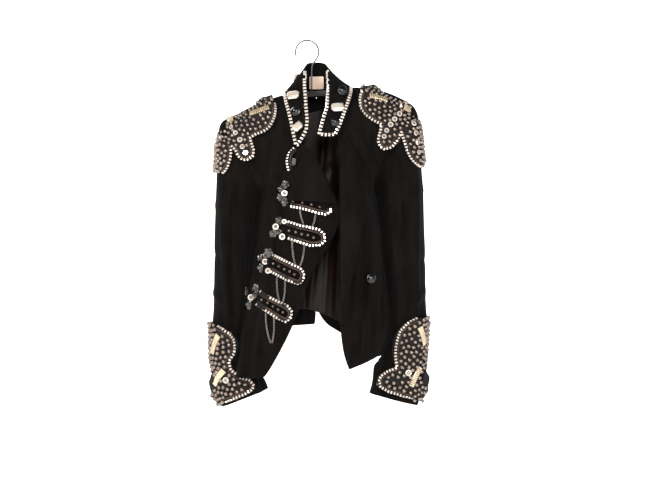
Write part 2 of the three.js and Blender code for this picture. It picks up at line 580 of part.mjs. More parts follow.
// Lapels: the facings of both fronts, turned back. free: the loose edge. roll: the fold of the front.
const LAPEL_RIGHT = [
  { freeX: -6, freeZ: -228, rollX: 10, rollZ: -226 },
  { freeX: -12, freeZ: -246, rollX: 19, rollZ: -242 },
  { freeX: -20, freeZ: -266, rollX: 29, rollZ: -262 },
  { freeX: -26, freeZ: -288, rollX: 41, rollZ: -286 },
  { freeX: -33, freeZ: -308, rollX: 52, rollZ: -308 },
  { freeX: -36, freeZ: -322, rollX: 61, rollZ: -330 },
];
const LAPEL_LEFT = [
  { freeX: 78, freeZ: -190, rollX: 69, rollZ: -194 },
  { freeX: 88, freeZ: -210, rollX: 68, rollZ: -210 },
  { freeX: 100, freeZ: -236, rollX: 67, rollZ: -236 },
  { freeX: 112, freeZ: -262, rollX: 67, rollZ: -262 },
  { freeX: 122, freeZ: -300, rollX: 67, rollZ: -300 },
  { freeX: 122, freeZ: -336, rollX: 67, rollZ: -336 },
  { freeX: 114, freeZ: -368, rollX: 67, rollZ: -368 },
  { freeX: 106, freeZ: -396, rollX: 67, rollZ: -396 },
  { freeX: 98, freeZ: -434, rollX: 67, rollZ: -434 },
  { freeX: 90, freeZ: -474, rollX: 67, rollZ: -474 },
  { freeX: 84, freeZ: -504, rollX: 67, rollZ: -504 },
  { freeX: 79, freeZ: -536, rollX: 67, rollZ: -536 },
  { freeX: 76, freeZ: -566, rollX: 68, rollZ: -566 },
];
const LAPEL_COLUMNS = 5;
const LAPEL_GAP = 0.8;
const LAPEL_STAND = 8; // how far the loose edge stands off the front

function lapel(name, rows, under) {
  const grid = rows.map((row) => Array.from({ length: LAPEL_COLUMNS + 1 }, (_, k) => {
    const t = k / LAPEL_COLUMNS;
    return facePoint(under, mix(row.rollX, row.freeX, t), mix(row.rollZ, row.freeZ, t), row.rollY);
  }));
  const forward = grid.map((row) => row.map(() => FRONTWARD));
  const clear = liftClear(grid, forward, under, LAPEL_GAP);
  const loose = (i, j) => LAPEL_STAND * (j / LAPEL_COLUMNS) * Math.min(1, i / 2);
  const inner = movedOut(clear, forward, loose);
  addMesh(name, wallBetween(movedOut(inner, forward, WOOL), inner, false), wool);
}

lapel('lapel_right', LAPEL_RIGHT, ['front_right']);
lapel('lapel_left', LAPEL_LEFT, ['front_left']);

// Frogging loops on the right front: the route of each braid, from its upper inner end round to its
// lower inner end.
const FROGS = [
  { name: 'frog_0', width: 8, route: [[-24, -222], [-33, -232], [-36, -244], [-35, -254], [-33, -262]] },
  { name: 'frog_1', width: 11,
    route: [[45, -340], [45, -346], [37, -348], [22, -345], [6, -340], [-14, -335], [-30, -332]] },
  { name: 'frog_2', width: 11,
    route: [[-36, -367], [-14, -374], [10, -379], [25, -383], [33, -391], [34, -401], [26, -408],
      [8, -409], [-13, -402], [-34, -395]] },
  { name: 'frog_3', width: 11,
    route: [[-67, -432], [-48, -441], [-30, -450], [-14, -457], [-7, -466], [-8, -476], [-15, -484],
      [-33, -478], [-54, -468], [-73, -458]] },
  { name: 'frog_4', width: 11,
    route: [[-92, -504], [-74, -515], [-55, -524], [-38, -532], [-31, -541], [-32, -550], [-40, -558],
      [-58, -550], [-80, -536], [-98, -526]] },
];
const FROG_GAP = 0.6;

function frog({ name, width, route }) {
  const LAST = route.length - 1;
  const flat = route.map(([x, z]) => vec(x, 0, z));
  const grid = flat.map((p, i) => {
    const along = flat[Math.min(i + 1, LAST)].clone().sub(flat[Math.max(i - 1, 0)]).normalize();
    const sideways = vec(-along.z, 0, along.x);
    return [-0.5, -0.25, 0.25, 0.5].map((share) => {
      const at = p.clone().addScaledVector(sideways, share * width);
      return facePoint(['front_right'], at.x, at.z, -84);
    });
  });
  const forward = grid.map((row) => row.map(() => FRONTWARD));
  const under = liftClear(grid, forward, ['front_right'], FROG_GAP);
  const rounded = (i, j) => (j === 0 || j === 3 ? 0.6 : 1) * FROG_THICK;
  addMesh(name, wallBetween(movedOut(under, forward, rounded), under, false), beadedGround);
}

FROGS.forEach(frog);

// Small hard pieces with a rim of points on the cloth and a domed or faceted top.
function medallion({ name, x, z, wide, high, turn = 0, sides = 12, petals = 0, rise, on, finish }) {
  const RIM_GAP = 0.8;
  const MOST_SAG = 5; // how far the rim follows cloth that falls away
  const SHOULDER = 0.72; // share of the rim's size where the top flattens
  const ring = (share) => Array.from({ length: sides }, (_, k) => {
    const angle = 2 * Math.PI * (k + 0.5) / sides;
    const size = share * (1 + petals * Math.cos(5 * angle));
    const a = wide / 2 * size * Math.cos(angle);
    const b = high / 2 * size * Math.sin(angle);
    return [x + a * Math.cos(turn) - b * Math.sin(turn), z + a * Math.sin(turn) + b * Math.cos(turn)];
  });
  const middle = facePoint(on, x, z);
  const rim = ring(1).map(([a, b]) => facePoint(on, a, b, middle.y));
  const nearest = Math.min(middle.y, ...rim.map((p) => p.y));
  const seat = rim.map((p) => vec(p.x, Math.min(p.y, nearest + MOST_SAG), p.z));
  const tops = ring(SHOULDER).map(([a, b]) => vec(a, 0, b));
  const lifts = seat.map((p) => mix(p.y, nearest, 0.35));
  const rows = [
    seat.map((p) => vec(p.x, p.y - RIM_GAP, p.z)),
    seat.map((p, k) => vec(p.x, lifts[k] - RIM_GAP - rise * 0.5, p.z)),
    tops.map((p, k) => vec(p.x, lifts[k] - RIM_GAP - rise, p.z)),
  ];
  const positions = rows.flat().flatMap((p) => [p.x, p.y, p.z]);
  const crown = rows[2].reduce((sum, p) => sum + p.y, 0) / sides;
  positions.push(x, Math.min(nearest - RIM_GAP, middle.y - RIM_GAP), z, x, crown, z);
  const index = [];
  for (let k = 0; k < sides; k += 1) {
    const next = (k + 1) % sides;
    for (const row of [0, sides]) {
      index.push(row + k, row + next, row + sides + next, row + k, row + sides + next, row + sides + k);
    }
    index.push(3 * sides, next, k, 3 * sides + 1, 2 * sides + k, 2 * sides + next);
  }
  addMesh(name, outwardSolid(positions, index), finish);
}

const stone = { wide: 25, high: 18, sides: 8, rise: 7, on: ['collar'], finish: crystal };
const button = { wide: 19, high: 19, sides: 16, rise: 6, on: ['collar'], finish: jet };
const rosette = { wide: 26, high: 26, sides: 20, petals: 0.14, rise: 5, on: ['front_right'], finish: jet };
const MEDALLIONS = [
  { name: 'stone_1', ...stone, x: -27, z: -113, turn: -0.1 },
  { name: 'stone_2', ...stone, x: -18, z: -177, turn: 0.8 },
  { name: 'stone_3', ...stone, x: 61, z: -139, turn: 0.1 },
  { name: 'collar_button_1', ...button, x: -22, z: -146 },
  { name: 'collar_button_2', ...button, x: 70, z: -104 },
  { name: 'collar_button_3', ...button, x: 56, z: -169, wide: 17, high: 17 },
  { name: 'front_button', ...button, x: 127, z: -476, wide: 17, on: ['front_left'] },
  { name: 'rosette_1', ...rosette, x: -48, z: -308, wide: 24 },
  { name: 'rosette_2', ...rosette, x: -56, z: -379 },
  { name: 'rosette_3', ...rosette, x: -86, z: -439 },
  { name: 'rosette_4', ...rosette, x: -110, z: -510, wide: 21 },
];
MEDALLIONS.forEach(medallion);

// A solid with a round section along a route that lies nearly in the plane of the hanger.
function sweep(route, radius, sides) {
  const LAST = route.length - 1;
  const rings = route.map((p, i) => {
    const along = route[Math.min(i + 1, LAST)].clone().sub(route[Math.max(i - 1, 0)]).normalize();
    const sideways = along.clone().cross(FRONTWARD).normalize();
    const forward = sideways.clone().cross(along).normalize();
    return Array.from({ length: sides }, (_, k) => {
      const angle = 2 * Math.PI * k / sides;
      return p.clone().addScaledVector(sideways, radius * Math.cos(angle))
        .addScaledVector(forward, radius * Math.sin(angle));
    });
  });
  const positions = [...rings.flat(), route[0], route[LAST]].flatMap((p) => [p.x, p.y, p.z]);
  const start = rings.length * sides;
  const index = [];
  for (let k = 0; k < sides; k += 1) {
    const next = (k + 1) % sides;
    for (let i = 0; i < LAST; i += 1) {
      const a = i * sides;
      index.push(a + k, a + next, a + sides + next, a + k, a + sides + next, a + sides + k);
    }
    index.push(start, next, k, start + 1, LAST * sides + k, LAST * sides + next);
  }
  return outwardSolid(positions, index);
}

// Chains, two legs below each loop. belly: how far the leg bows to the right.
const CHAINS = [
  { fromX: -13, fromZ: -342.5, toX: -6, toZ: -368, belly: 1 },
  { fromX: 18, fromZ: -351, toX: 12, toZ: -373, belly: -1 },
  { fromX: -28, fromZ: -404, toX: -22, toZ: -446.5, belly: 2 },
  { fromX: -4, fromZ: -412, toX: -12, toZ: -450, belly: -2 },
  { fromX: -58, fromZ: -473, toX: -54, toZ: -516.5, belly: 2 },
  { fromX: -42, fromZ: -481, toX: -46, toZ: -520.5, belly: -2 },
  { fromX: -80, fromZ: -545, toX: -71, toZ: -600, belly: 3 },
  { fromX: -64, fromZ: -554, toX: -67, toZ: -600, belly: -2 },
];
const CHAIN_STEPS = 7;
const CHAIN_SIDES = 6;
const CHAIN_STANDOFF = 3.4;

CHAINS.forEach((chain, n) => {
  const route = Array.from({ length: CHAIN_STEPS + 1 }, (_, i) => {
    const t = i / CHAIN_STEPS;
    const x = mix(chain.fromX, chain.toX, t) - chain.belly * Math.sin(Math.PI * t);
    const point = facePoint(['front_right'], x, mix(chain.fromZ, chain.toZ, t), -84);
    return point.add(vec(0, -CHAIN_STANDOFF, 0));
  });
  addMesh(`chain_${n + 1}`, sweep(route, CORD_RADIUS, CHAIN_SIDES), silver);
});

// The lining of the back, from the neck to just above the vent.
const LINING_GAP = 4;
const LINING_ROWS = [1, 2, 3, 4, 5, 6, 7, 8, 10, 12, 13]; // levels of the right back
const LINING_COLUMNS = [12, 10, 8, 6, 4, 2, 1];

function liningGrid() {
  const inwards = (grid) => movedOut(grid, gridNormals(grid, false, bodyCore), -(WOOL + LINING_GAP));
  const right = inwards(rightBackGrid);
  const left = inwards(leftBackGrid);
  const acrossFrom = (i) => Math.round(i * (left.length - 1) / (right.length - 1));
  return LINING_ROWS.map((i) => [
    ...LINING_COLUMNS.map((j) => right[i][j]),
    ...LINING_COLUMNS.toReversed().map((j) => left[acrossFrom(i)][j]),
  ]);
}

addMesh('back_lining', clothSolid(liningGrid(), SATIN, false, bodyCore), satin);

// Neck label, flat behind the stem of the hook, sewn to the inside of the collar
const LABEL = { left: 4, right: 33, top: -68, bottom: -93, wall: 0.8 };

const labelGrid = [LABEL.top, LABEL.bottom].map((z) => [0, 0.5, 1].map((t) => {
  const x = mix(LABEL.left, LABEL.right, t);
  const inside = new THREE.Raycaster(vec(x, 0, z), vec(0, 1, 0));
  const found = inside.intersectObject(scene.getObjectByName('collar'), false)[0].point;
  return found.add(vec(0, -SEAM - 0.5, 0));
}));
const labelFront = labelGrid.map((row) => row.map((p) => p.clone().add(vec(0, -LABEL.wall, 0))));
addMesh('neck_label', wallBetween(labelGrid, labelFront, false), label);

// Hanger: a slim flocked bar whose shoulders carry the seams, and a chromed hook
const BAR_RADIUS = 5.5;
const BAR_ROUTE = [[-134, -152.5], [-96, -135.5], [-54, -121], [-20, -110], [9, -106], [50, -104],
  [92, -104.5], [140, -113], [184, -128]];
const STEM_X = 9;
const HOOK_STEPS = 12;

addMesh('hanger_bar', sweep(BAR_ROUTE.map(([x, z]) => vec(x, 0, z)), BAR_RADIUS, 10), velvet);

const hookCentre = vec(0, 0, -HOOK_RADIUS);
const hookRoute = Array.from({ length: HOOK_STEPS + 1 }, (_, i) => {
  const angle = mix(1.12 * Math.PI, -0.2 * Math.PI, i / HOOK_STEPS);
  const reach = HOOK_RADIUS + HOOK_WIRE;
  return hookCentre.clone().add(vec(reach * Math.cos(angle), 0, reach * Math.sin(angle)));
});
hookRoute.push(vec(STEM_X + 2, 0, -46), vec(STEM_X, 0, -56), vec(STEM_X, 0, -78));
hookRoute.push(vec(STEM_X, 0, -106 + BAR_RADIUS + SEAM));
addMesh('hanger_hook', sweep(hookRoute, HOOK_WIRE, 8), chrome);

export default scene;
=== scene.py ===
"""Looks of a beaded military jacket that hangs open on a slim hanger."""

import logging
import math
import random
from dataclasses import dataclass, field
from enum import Enum
from typing import Callable, Iterable, Sequence

import bmesh
import bpy
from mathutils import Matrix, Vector, noise
from mathutils.bvhtree import BVHTree


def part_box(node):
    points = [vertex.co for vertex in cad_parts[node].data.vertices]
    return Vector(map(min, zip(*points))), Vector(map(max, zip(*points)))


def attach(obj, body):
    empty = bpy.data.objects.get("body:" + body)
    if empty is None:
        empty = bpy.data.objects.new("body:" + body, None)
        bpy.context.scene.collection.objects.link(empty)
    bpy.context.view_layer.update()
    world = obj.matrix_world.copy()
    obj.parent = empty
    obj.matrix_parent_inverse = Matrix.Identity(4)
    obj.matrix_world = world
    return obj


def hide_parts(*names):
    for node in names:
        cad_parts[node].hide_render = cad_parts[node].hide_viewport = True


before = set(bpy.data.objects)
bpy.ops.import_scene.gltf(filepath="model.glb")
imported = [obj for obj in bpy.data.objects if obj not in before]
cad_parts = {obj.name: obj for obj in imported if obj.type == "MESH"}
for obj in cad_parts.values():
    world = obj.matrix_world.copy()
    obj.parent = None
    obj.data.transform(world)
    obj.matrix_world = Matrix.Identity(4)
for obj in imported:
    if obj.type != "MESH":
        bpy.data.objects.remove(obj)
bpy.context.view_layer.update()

MM = 0.001
FRONT = Vector((0, -1, 0))
NECK_X_MM = 18.0  # the middle of the neck, and the centre back seam
LOOK_FROM = 0.5  # metres from which a place on the cloth is looked for
RNG = random.Random(11)
log = logging.getLogger("jacket")

Point = tuple[float, float]


class Face(Enum):
    """The side of the garment on which a trim lies."""

    FRONT = -1
    BACK = 1


def linear(hex_colour: str) -> tuple[float, float, float, float]:
    """Turns an sRGB hex colour to linear values.

    Args:
        hex_colour: six hex digits.

    Returns:
        Linear red, green and blue, and an alpha of one.
    """
    parts = [int(hex_colour[i:i + 2], 16) / 255 for i in (0, 2, 4)]
    low = [p / 12.92 if p <= 0.04045 else ((p + 0.055) / 1.055) ** 2.4 for p in parts]
    return low[0], low[1], low[2], 1.0


def add_node(tree: bpy.types.NodeTree, kind: str, settings: dict | None = None,
             links: dict | None = None) -> bpy.types.Node:
    """Adds a shader node.

    Args:
        tree: the material's node tree.
        kind: the node's type.
        settings: attribute names, or input names, and their values.
        links: input names and the output sockets that feed them.

    Returns:
        The new node.
    """
    node = tree.nodes.new(kind)
    for name, value in (settings or {}).items():
        if isinstance(name, str) and hasattr(node, name):
            setattr(node, name, value)
        else:
            node.inputs[name].default_value = value
    for name, socket in (links or {}).items():
        tree.links.new(socket, node.inputs[name])
    return node


@dataclass(frozen=True)
class Finish:
    """A plain finish: a shader with a little colour change and a fine bump."""

    name: str
    colour: str
    cloud_colour: str
    rough: float
    metal: float = 0.0
    ior: float = 1.5
    coat: float = 0.0
    sheen: float = 0.0
    sheen_rough: float = 0.5
    grain_mm: float = 6.0
    bump_mm: float = 0.05
    specular: float = 0.5
    # How far the cloud is stretched; the wool's stretched cloud makes upright streaks of painted shade.
    streak: float = 1.0

    def surface(self, tree: bpy.types.NodeTree, place: bpy.types.NodeSocket) -> bpy.types.NodeSocket:
        """The height that the bump shows. Plain finishes have a fine cloudy grain."""
        grain = add_node(tree, "ShaderNodeTexNoise", {"Scale": 1 / (self.grain_mm * MM), "Detail": 4.0},
                         {"Vector": place})
        return grain.outputs["Fac"]

    def build(self) -> bpy.types.Material:
        """Makes the material."""
        material = bpy.data.materials.new(self.name)
        material.use_nodes = True
        tree = material.node_tree
        shader = tree.nodes["Principled BSDF"]
        place = add_node(tree, "ShaderNodeTexCoord").outputs["Object"]
        # The cloud blends the colour into the cloud colour. On some finishes below this is painted light, as
        # their comments say: the wool's upright streaks are painted shade of its folds.
        stretched = add_node(tree, "ShaderNodeMapping", {"Scale": (1.0, 1.0, self.streak)}, {"Vector": place})
        cloud = add_node(tree, "ShaderNodeTexNoise", {"Scale": 1 / (self.grain_mm * 5 * MM), "Detail": 3.0},
                         {"Vector": stretched.outputs["Vector"]})
        blend = add_node(tree, "ShaderNodeMix", {"data_type": "RGBA"}, {"Factor": cloud.outputs["Fac"]})
        blend.inputs[6].default_value = linear(self.colour)
        blend.inputs[7].default_value = linear(self.cloud_colour)
        bump = add_node(tree, "ShaderNodeBump", {"Strength": 0.8, "Distance": self.bump_mm * MM},
                        {"Height": self.surface(tree, place)})
        tree.links.new(blend.outputs[2], shader.inputs["Base Color"])
        tree.links.new(bump.outputs["Normal"], shader.inputs["Normal"])
        values = {"Roughness": self.rough, "Metallic": self.metal, "IOR": self.ior,
                  "Coat Weight": self.coat, "Sheen Weight": self.sheen, "Sheen Roughness": self.sheen_rough,
                  "Specular IOR Level": self.specular}
        for socket, value in values.items():
            shader.inputs[socket].default_value = value
        return material


@dataclass(frozen=True)
class Woven(Finish):
    """A woven finish: two sets of threads that cross, under a nap or bare."""

    thread_mm: float = 0.9
    bias_degrees: float = 38.0

    def surface(self, tree: bpy.types.NodeTree, place: bpy.types.NodeSocket) -> bpy.types.NodeSocket:
        """Threads across and along, drawn coarser than the real ones so that they show, with a nap."""
        turn = add_node(tree, "ShaderNodeMapping", {"Rotation": (0.0, math.radians(self.bias_degrees), 0.0)},
                        {"Vector": place})
        waves = []
        for direction in ("X", "Z"):
            waves.append(add_node(tree, "ShaderNodeTexWave",
                                  {"bands_direction": direction, "Scale": 0.314 / (self.thread_mm * MM),
                                   "Distortion": 1.2, "Detail": 2.0}, {"Vector": turn.outputs["Vector"]}))
        cross = add_node(tree, "ShaderNodeMath", {"operation": "MULTIPLY"},
                         {0: waves[0].outputs["Fac"], 1: waves[1].outputs["Fac"]})
        nap = add_node(tree, "ShaderNodeTexNoise", {"Scale": 1 / (self.grain_mm * MM), "Detail": 6.0},
                       {"Vector": place})
        both = add_node(tree, "ShaderNodeMath", {"operation": "ADD"},
                        {0: cross.outputs["Value"], 1: nap.outputs["Fac"]})
        return both.outputs["Value"]


# Milled wool, woven, napped and pressed: hardly any gloss, with a faint bloom at grazing angles. Its two
# colours are painted shade: upright streaks, darker and lighter, that stand in for the shade of soft folds.
WOOL = Woven("milled_wool", "010101", "120F0D", 0.95, sheen=0.012, sheen_rough=0.4, grain_mm=4.0,
             bump_mm=0.25, specular=0.035, streak=0.22)
# Acetate satin, warp faced: a soft gloss along its folds.
SATIN = Woven("acetate_satin", "0D0706", "170D0B", 0.4, thread_mm=0.5, bump_mm=0.05, specular=0.1)
# Wool felt under the beads, stained brown by the bronze thread: dull, dark, fibrous.
FELT = Woven("bead_ground_felt", "080605", "100C0A", 0.85, grain_mm=1.6, bump_mm=0.3, specular=0.25)
# Glass pearls with a bronze lustre: dark metal gloss with a soft highlight.
PEARL = Finish("bronze_glass_pearl", "8F8074", "50423A", 0.31, metal=1.0, coat=0.45, grain_mm=3.0)
# Bronze lurex cord, twisted.
LUREX = Finish("bronze_lurex_cord", "5C4639", "2E221B", 0.42, metal=0.8, grain_mm=1.0, bump_mm=0.3)
# Lead glass, cut, with silver foil behind it: bright facets. Their change from white to grey is a painted
# reflection, a random tone in the base colour.
CRYSTAL = Finish("foiled_lead_glass", "E6DACE", "9C9086", 0.1, metal=0.35, coat=1.0, grain_mm=3.0)
# The large step-cut stones: lead glass with a champagne tint. Their darker brownish second colour is painted
# shade that stands in for the shade of the facets.
CHAMPAGNE = Finish("champagne_glass", "F6EDDF", "AE9A83", 0.14, metal=0.6, coat=1.0, grain_mm=5.0)
# The round stones' middles: clear glass, given a grey-brown colour as a painted reflection, so that it looks
# dark between its bright edges.
PAINTED_DARK_GLASS = Finish("clear_glass_middle", "A69C92", "4A423D", 0.05, metal=0.5, coat=1.0, grain_mm=3.0)
# Gilt brass baguettes with a champagne glass face.
GILT = Finish("gilt_baguette", "E2D2B4", "97815E", 0.22, metal=0.5, coat=1.0, grain_mm=2.5)
# Faceted resin, dyed black and polished: jet gloss.
JET = Finish("polished_jet_resin", "030304", "08080A", 0.22, coat=0.06, grain_mm=8.0, bump_mm=0.01,
             specular=0.32)
# Gelatine coated sequins: dark, satin, slightly metallic.
SEQUIN = Finish("smoke_sequin", "3A3532", "141211", 0.25, metal=0.5, coat=0.6, grain_mm=2.0)
# Plated steel chain, tarnished in its joints.
CHAIN = Finish("plated_steel_chain", "8C867F", "4C4742", 0.34, metal=1.0, grain_mm=2.0)
# Polyester label tape, satin woven, bare.
LABEL = Woven("woven_label_tape", "B59C88", "C9B29F", 0.62, thread_mm=0.6, bump_mm=0.08)
LABEL_EDGE = Finish("label_stitching", "D8C9B8", "BFAE9C", 0.7, grain_mm=0.8, bump_mm=0.1)
# Nylon flock on a plastic bar: matt black with a pale bloom.
FLOCK = Finish("nylon_flock", "121113", "1D1B1E", 0.95, sheen=0.15, grain_mm=0.6, bump_mm=0.15)
# Chromed steel wire, polished.
CHROME = Finish("chromed_steel_wire", "3E4043", "2A2B2E", 0.36, metal=0.7, grain_mm=20.0, bump_mm=0.005)
SEAM_THREAD = Finish("black_seam_thread", "1B1A1E", "100F12", 0.7, grain_mm=1.0, bump_mm=0.05)

MADE: dict[str, bpy.types.Material] = {}


def material_of(finish: Finish) -> bpy.types.Material:
    """The finish's material, made once."""
    if finish.name not in MADE:
        MADE[finish.name] = finish.build()
    return MADE[finish.name]


def new_piece(name: str, mesh: bpy.types.Mesh, finish: Finish,
              nodes: Sequence[str] = (), smooth: bool = True) -> bpy.types.Object:
    """Adds a piece that rides on the one body.

    Args:
        name: the piece's name.
        mesh: its mesh, in metres.
        finish: its finish.
        nodes: CAD nodes that it stands for.
        smooth: whether its faces are shaded smooth.

    Returns:
        The new object.
    """
    piece = bpy.data.objects.new(name, mesh)
    bpy.context.scene.collection.objects.link(piece)
    mesh.materials.clear()
    mesh.materials.append(material_of(finish))
    mesh.polygons.foreach_set("use_smooth", [smooth] * len(mesh.polygons))
    mesh.update()
    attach(piece, "root")
    if nodes:
        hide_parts(*nodes)
    log.info("%s: %d faces", name, len(mesh.polygons))
    return piece


# How much deeper the folds are than their table states, against the flat light of a pale room.
FOLD_STRENGTH = 1.35
RUN_OUT = 0.15  # how far a fold runs on past its ends, as a share of its length
BOW = 0.12  # how far a fold bows sideways, as a share of its width
FADE_POWER = 0.7
# Where a fold ends sideways, and how fast it falls off, both in widths.
FOLD_REACH = 2.5
FOLD_SPREAD = 0.6

# Edges that turn more than this are rims, which stay crisp.
RIM_ANGLE = math.radians(62)
RIM_CREASE = 0.85


def share_of(value: float, start: float, end: float) -> float:
    """How far a value has gone from a start to an end, from nought to one."""
    return min(max((value - start) / (end - start), 0.0), 1.0)


@dataclass
class Crease:
    """One fold of the cloth: a soft ridge or trough along a line seen from the front or the back.

    Each is given by its two ends at x and z, its width and its height, in millimetres. A trough has a
    height below zero.
    """

    x0: float
    z0: float
    x1: float
    z1: float
    wide: float
    high: float

    def lift(self, x: float, z: float) -> float:
        """How far the fold lifts the cloth at a point, in millimetres."""
        dx, dz = self.x1 - self.x0, self.z1 - self.z0
        span = dx * dx + dz * dz
        along = ((x - self.x0) * dx + (z - self.z0) * dz) / span
        if along < -RUN_OUT or along > 1 + RUN_OUT:
            return 0.0
        bow = BOW * math.sin(math.pi * along) * self.wide
        off = ((x - self.x0) * dz - (z - self.z0) * dx) / math.sqrt(span) + bow
        if abs(off) > FOLD_REACH * self.wide:
            return 0.0
        fade = math.sin(math.pi * share_of(along, -RUN_OUT, 1 + RUN_OUT)) ** FADE_POWER
        return FOLD_STRENGTH * self.high * fade * math.exp(-(off / (FOLD_SPREAD * self.wide)) ** 2)


def is_rim(edge: bmesh.types.BMEdge) -> bool:
    """Whether an edge of a mesh is one of its sharp rims."""
    return len(edge.link_faces) == 2 and edge.calc_face_angle(0.0) > RIM_ANGLE


def refined(node: str, levels: int, even: int = 0) -> bmesh.types.BMesh:
    """A smooth, fine copy of a CAD node's mesh.

    Args:
        node: the node.
        levels: how many times its faces are subdivided.
        even: rounds of smoothing that take the raised beads out of a ground.

    Returns:
        The mesh, with crisp rims.
    """
    coarse = bmesh.new()
    coarse.from_mesh(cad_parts[node].data)
    bmesh.ops.remove_doubles(coarse, verts=coarse.verts, dist=2e-5)
    bmesh.ops.recalc_face_normals(coarse, faces=coarse.faces)
    held = {v for e in coarse.edges if is_rim(e) for v in e.verts}
    free = [v for v in coarse.verts if v not in held]
    for _ in range(even):
        bmesh.ops.smooth_vert(coarse, verts=free, factor=0.5,
                              use_axis_x=True, use_axis_y=True, use_axis_z=True)
    bmesh.ops.join_triangles(coarse, faces=coarse.faces, angle_face_threshold=math.radians(50),
                             angle_shape_threshold=math.radians(60))
    layer = coarse.edges.layers.float.get("crease_edge") or coarse.edges.layers.float.new("crease_edge")
    for edge in coarse.edges:
        if is_rim(edge):
            edge[layer] = RIM_CREASE
    mesh = bpy.data.meshes.new(node + "_fine")
    coarse.to_mesh(mesh)
    coarse.free()
    holder = bpy.data.objects.new(node + "_holder", mesh)
    bpy.context.scene.collection.objects.link(holder)
    surface = holder.modifiers.new("fine", "SUBSURF")
    surface.levels = levels
    graph = bpy.context.evaluated_depsgraph_get()
    fine = bmesh.new()
    fine.from_mesh(holder.evaluated_get(graph).to_mesh())
    holder.evaluated_get(graph).to_mesh_clear()
    bpy.data.objects.remove(holder)
    bpy.data.meshes.remove(mesh)
    return fine


Mover = Callable[[Vector], Vector]


def still(_: Vector) -> Vector:
    """A mover that leaves a piece where it is."""
    return Vector((0, 0, 0))


def fine_piece(name: str, node: str, finish: Finish, levels: int, mover: Mover = still,
               even: int = 0) -> bpy.types.Object:
    """A smooth piece on its solid's form. Cloth is a thin shell that is moved into folds.

    Args:
        name: the piece's name.
        node: the CAD node that it stands for.
        finish: its finish.
        levels: subdivision levels.
        mover: gives the movement of a point, in metres.
        even: rounds of smoothing.

    Returns:
        The piece.
    """
    fine = refined(node, levels, even)
    for vert in fine.verts:
        vert.co += mover(vert.co)
    mesh = bpy.data.meshes.new(name)
    fine.to_mesh(mesh)
    fine.free()
    return new_piece(name, mesh, finish, [node])


def wrinkle(point: Vector, high: float, size: float) -> float:
    """Small uneven ripples of the cloth, in metres, for heights and sizes in millimetres."""
    place = Vector((point.x, 0.4 * point.y, 0.35 * point.z)) / (size * MM)
    return high * MM * noise.noise(place)


# How far the side seams and the inner sleeves swell towards each other, to close the slit, and how
# much further the left side seam does above its hem.
SIDE_SWELL_MM = 2.6
HEM_SWELL_MM = 6.5
SIDE_DEPTH_MM = 30.0  # how far in front of and behind the side seam its swelling reaches
SLEEVE_SIDE_DEPTH_MM = 35.0
LEFT_SIDE_X, RIGHT_SIDE_X = 100, -80  # beyond these a panel's point is near its side seam
UNDERARM_Z, CUFF_Z = -296, -640
BACK_OF_SLEEVE = 0.75  # how strong a sleeve's folds are on its back


def below_underarm(z: float) -> bool:
    """Whether a height in millimetres lies between the underarm and the cuffs."""
    return CUFF_Z < z < UNDERARM_Z


def folded_front(creases: Sequence[Crease]) -> Mover:
    """A mover for a panel that hangs in the plane of the photo: its folds push it to and fro."""
    def move(point: Vector) -> Vector:
        """Moves a point towards the front or the back."""
        x, z = point.x / MM, point.z / MM
        out = sum(crease.lift(x, z) for crease in creases) * MM + wrinkle(point, 1.6, 34)
        side = -1.0 if point.y < 0 else 1.0
        hold = min(1.0, abs(point.y) / (SIDE_DEPTH_MM * MM))
        low = share_of(-z, 520, 580) if x > LEFT_SIDE_X else 0.0
        beside = (1 - hold) * (SIDE_SWELL_MM + low * HEM_SWELL_MM) * MM
        if not below_underarm(z) or RIGHT_SIDE_X <= x <= LEFT_SIDE_X:
            beside = 0.0
        return Vector((beside if x > 0 else -beside, side * out * hold, 0))
    return move


def folded_sleeve(creases: Sequence[Crease], centre: Sequence[tuple[float, float]]) -> Mover:
    """A mover for a sleeve: folds push it away from the middle of the arm.

    Args:
        creases: its folds, the same on its front and, a little weaker, on its back.
        centre: z and x of the middle of the arm at a few heights, in millimetres, from the top.

    Returns:
        The mover.
    """
    def middle(z: float) -> float:
        """The middle of the arm at a height."""
        for (z0, x0), (z1, x1) in zip(centre, centre[1:]):
            if z >= z1:
                return x0 + (x1 - x0) * share_of(z, z0, z1)
        return centre[-1][1]

    def move(point: Vector) -> Vector:
        """Moves a point away from the middle of the arm."""
        x, z = point.x / MM, point.z / MM
        away = Vector((point.x - middle(z) * MM, point.y, 0))
        reach = away.length or 1.0
        seam_hold = share_of(-z, 150, 270)
        face = 1.0 if point.y < 0 else BACK_OF_SLEEVE
        out = face * sum(crease.lift(x, z) for crease in creases) * MM + wrinkle(point, 2.0, 30)
        swell = 0.0
        if below_underarm(z) and away.x * (middle(z) - NECK_X_MM) < 0:
            swell = max(0.0, 1 - abs(point.y) / (SLEEVE_SIDE_DEPTH_MM * MM)) * SIDE_SWELL_MM * MM
        return away / reach * (out * seam_hold + swell)
    return move


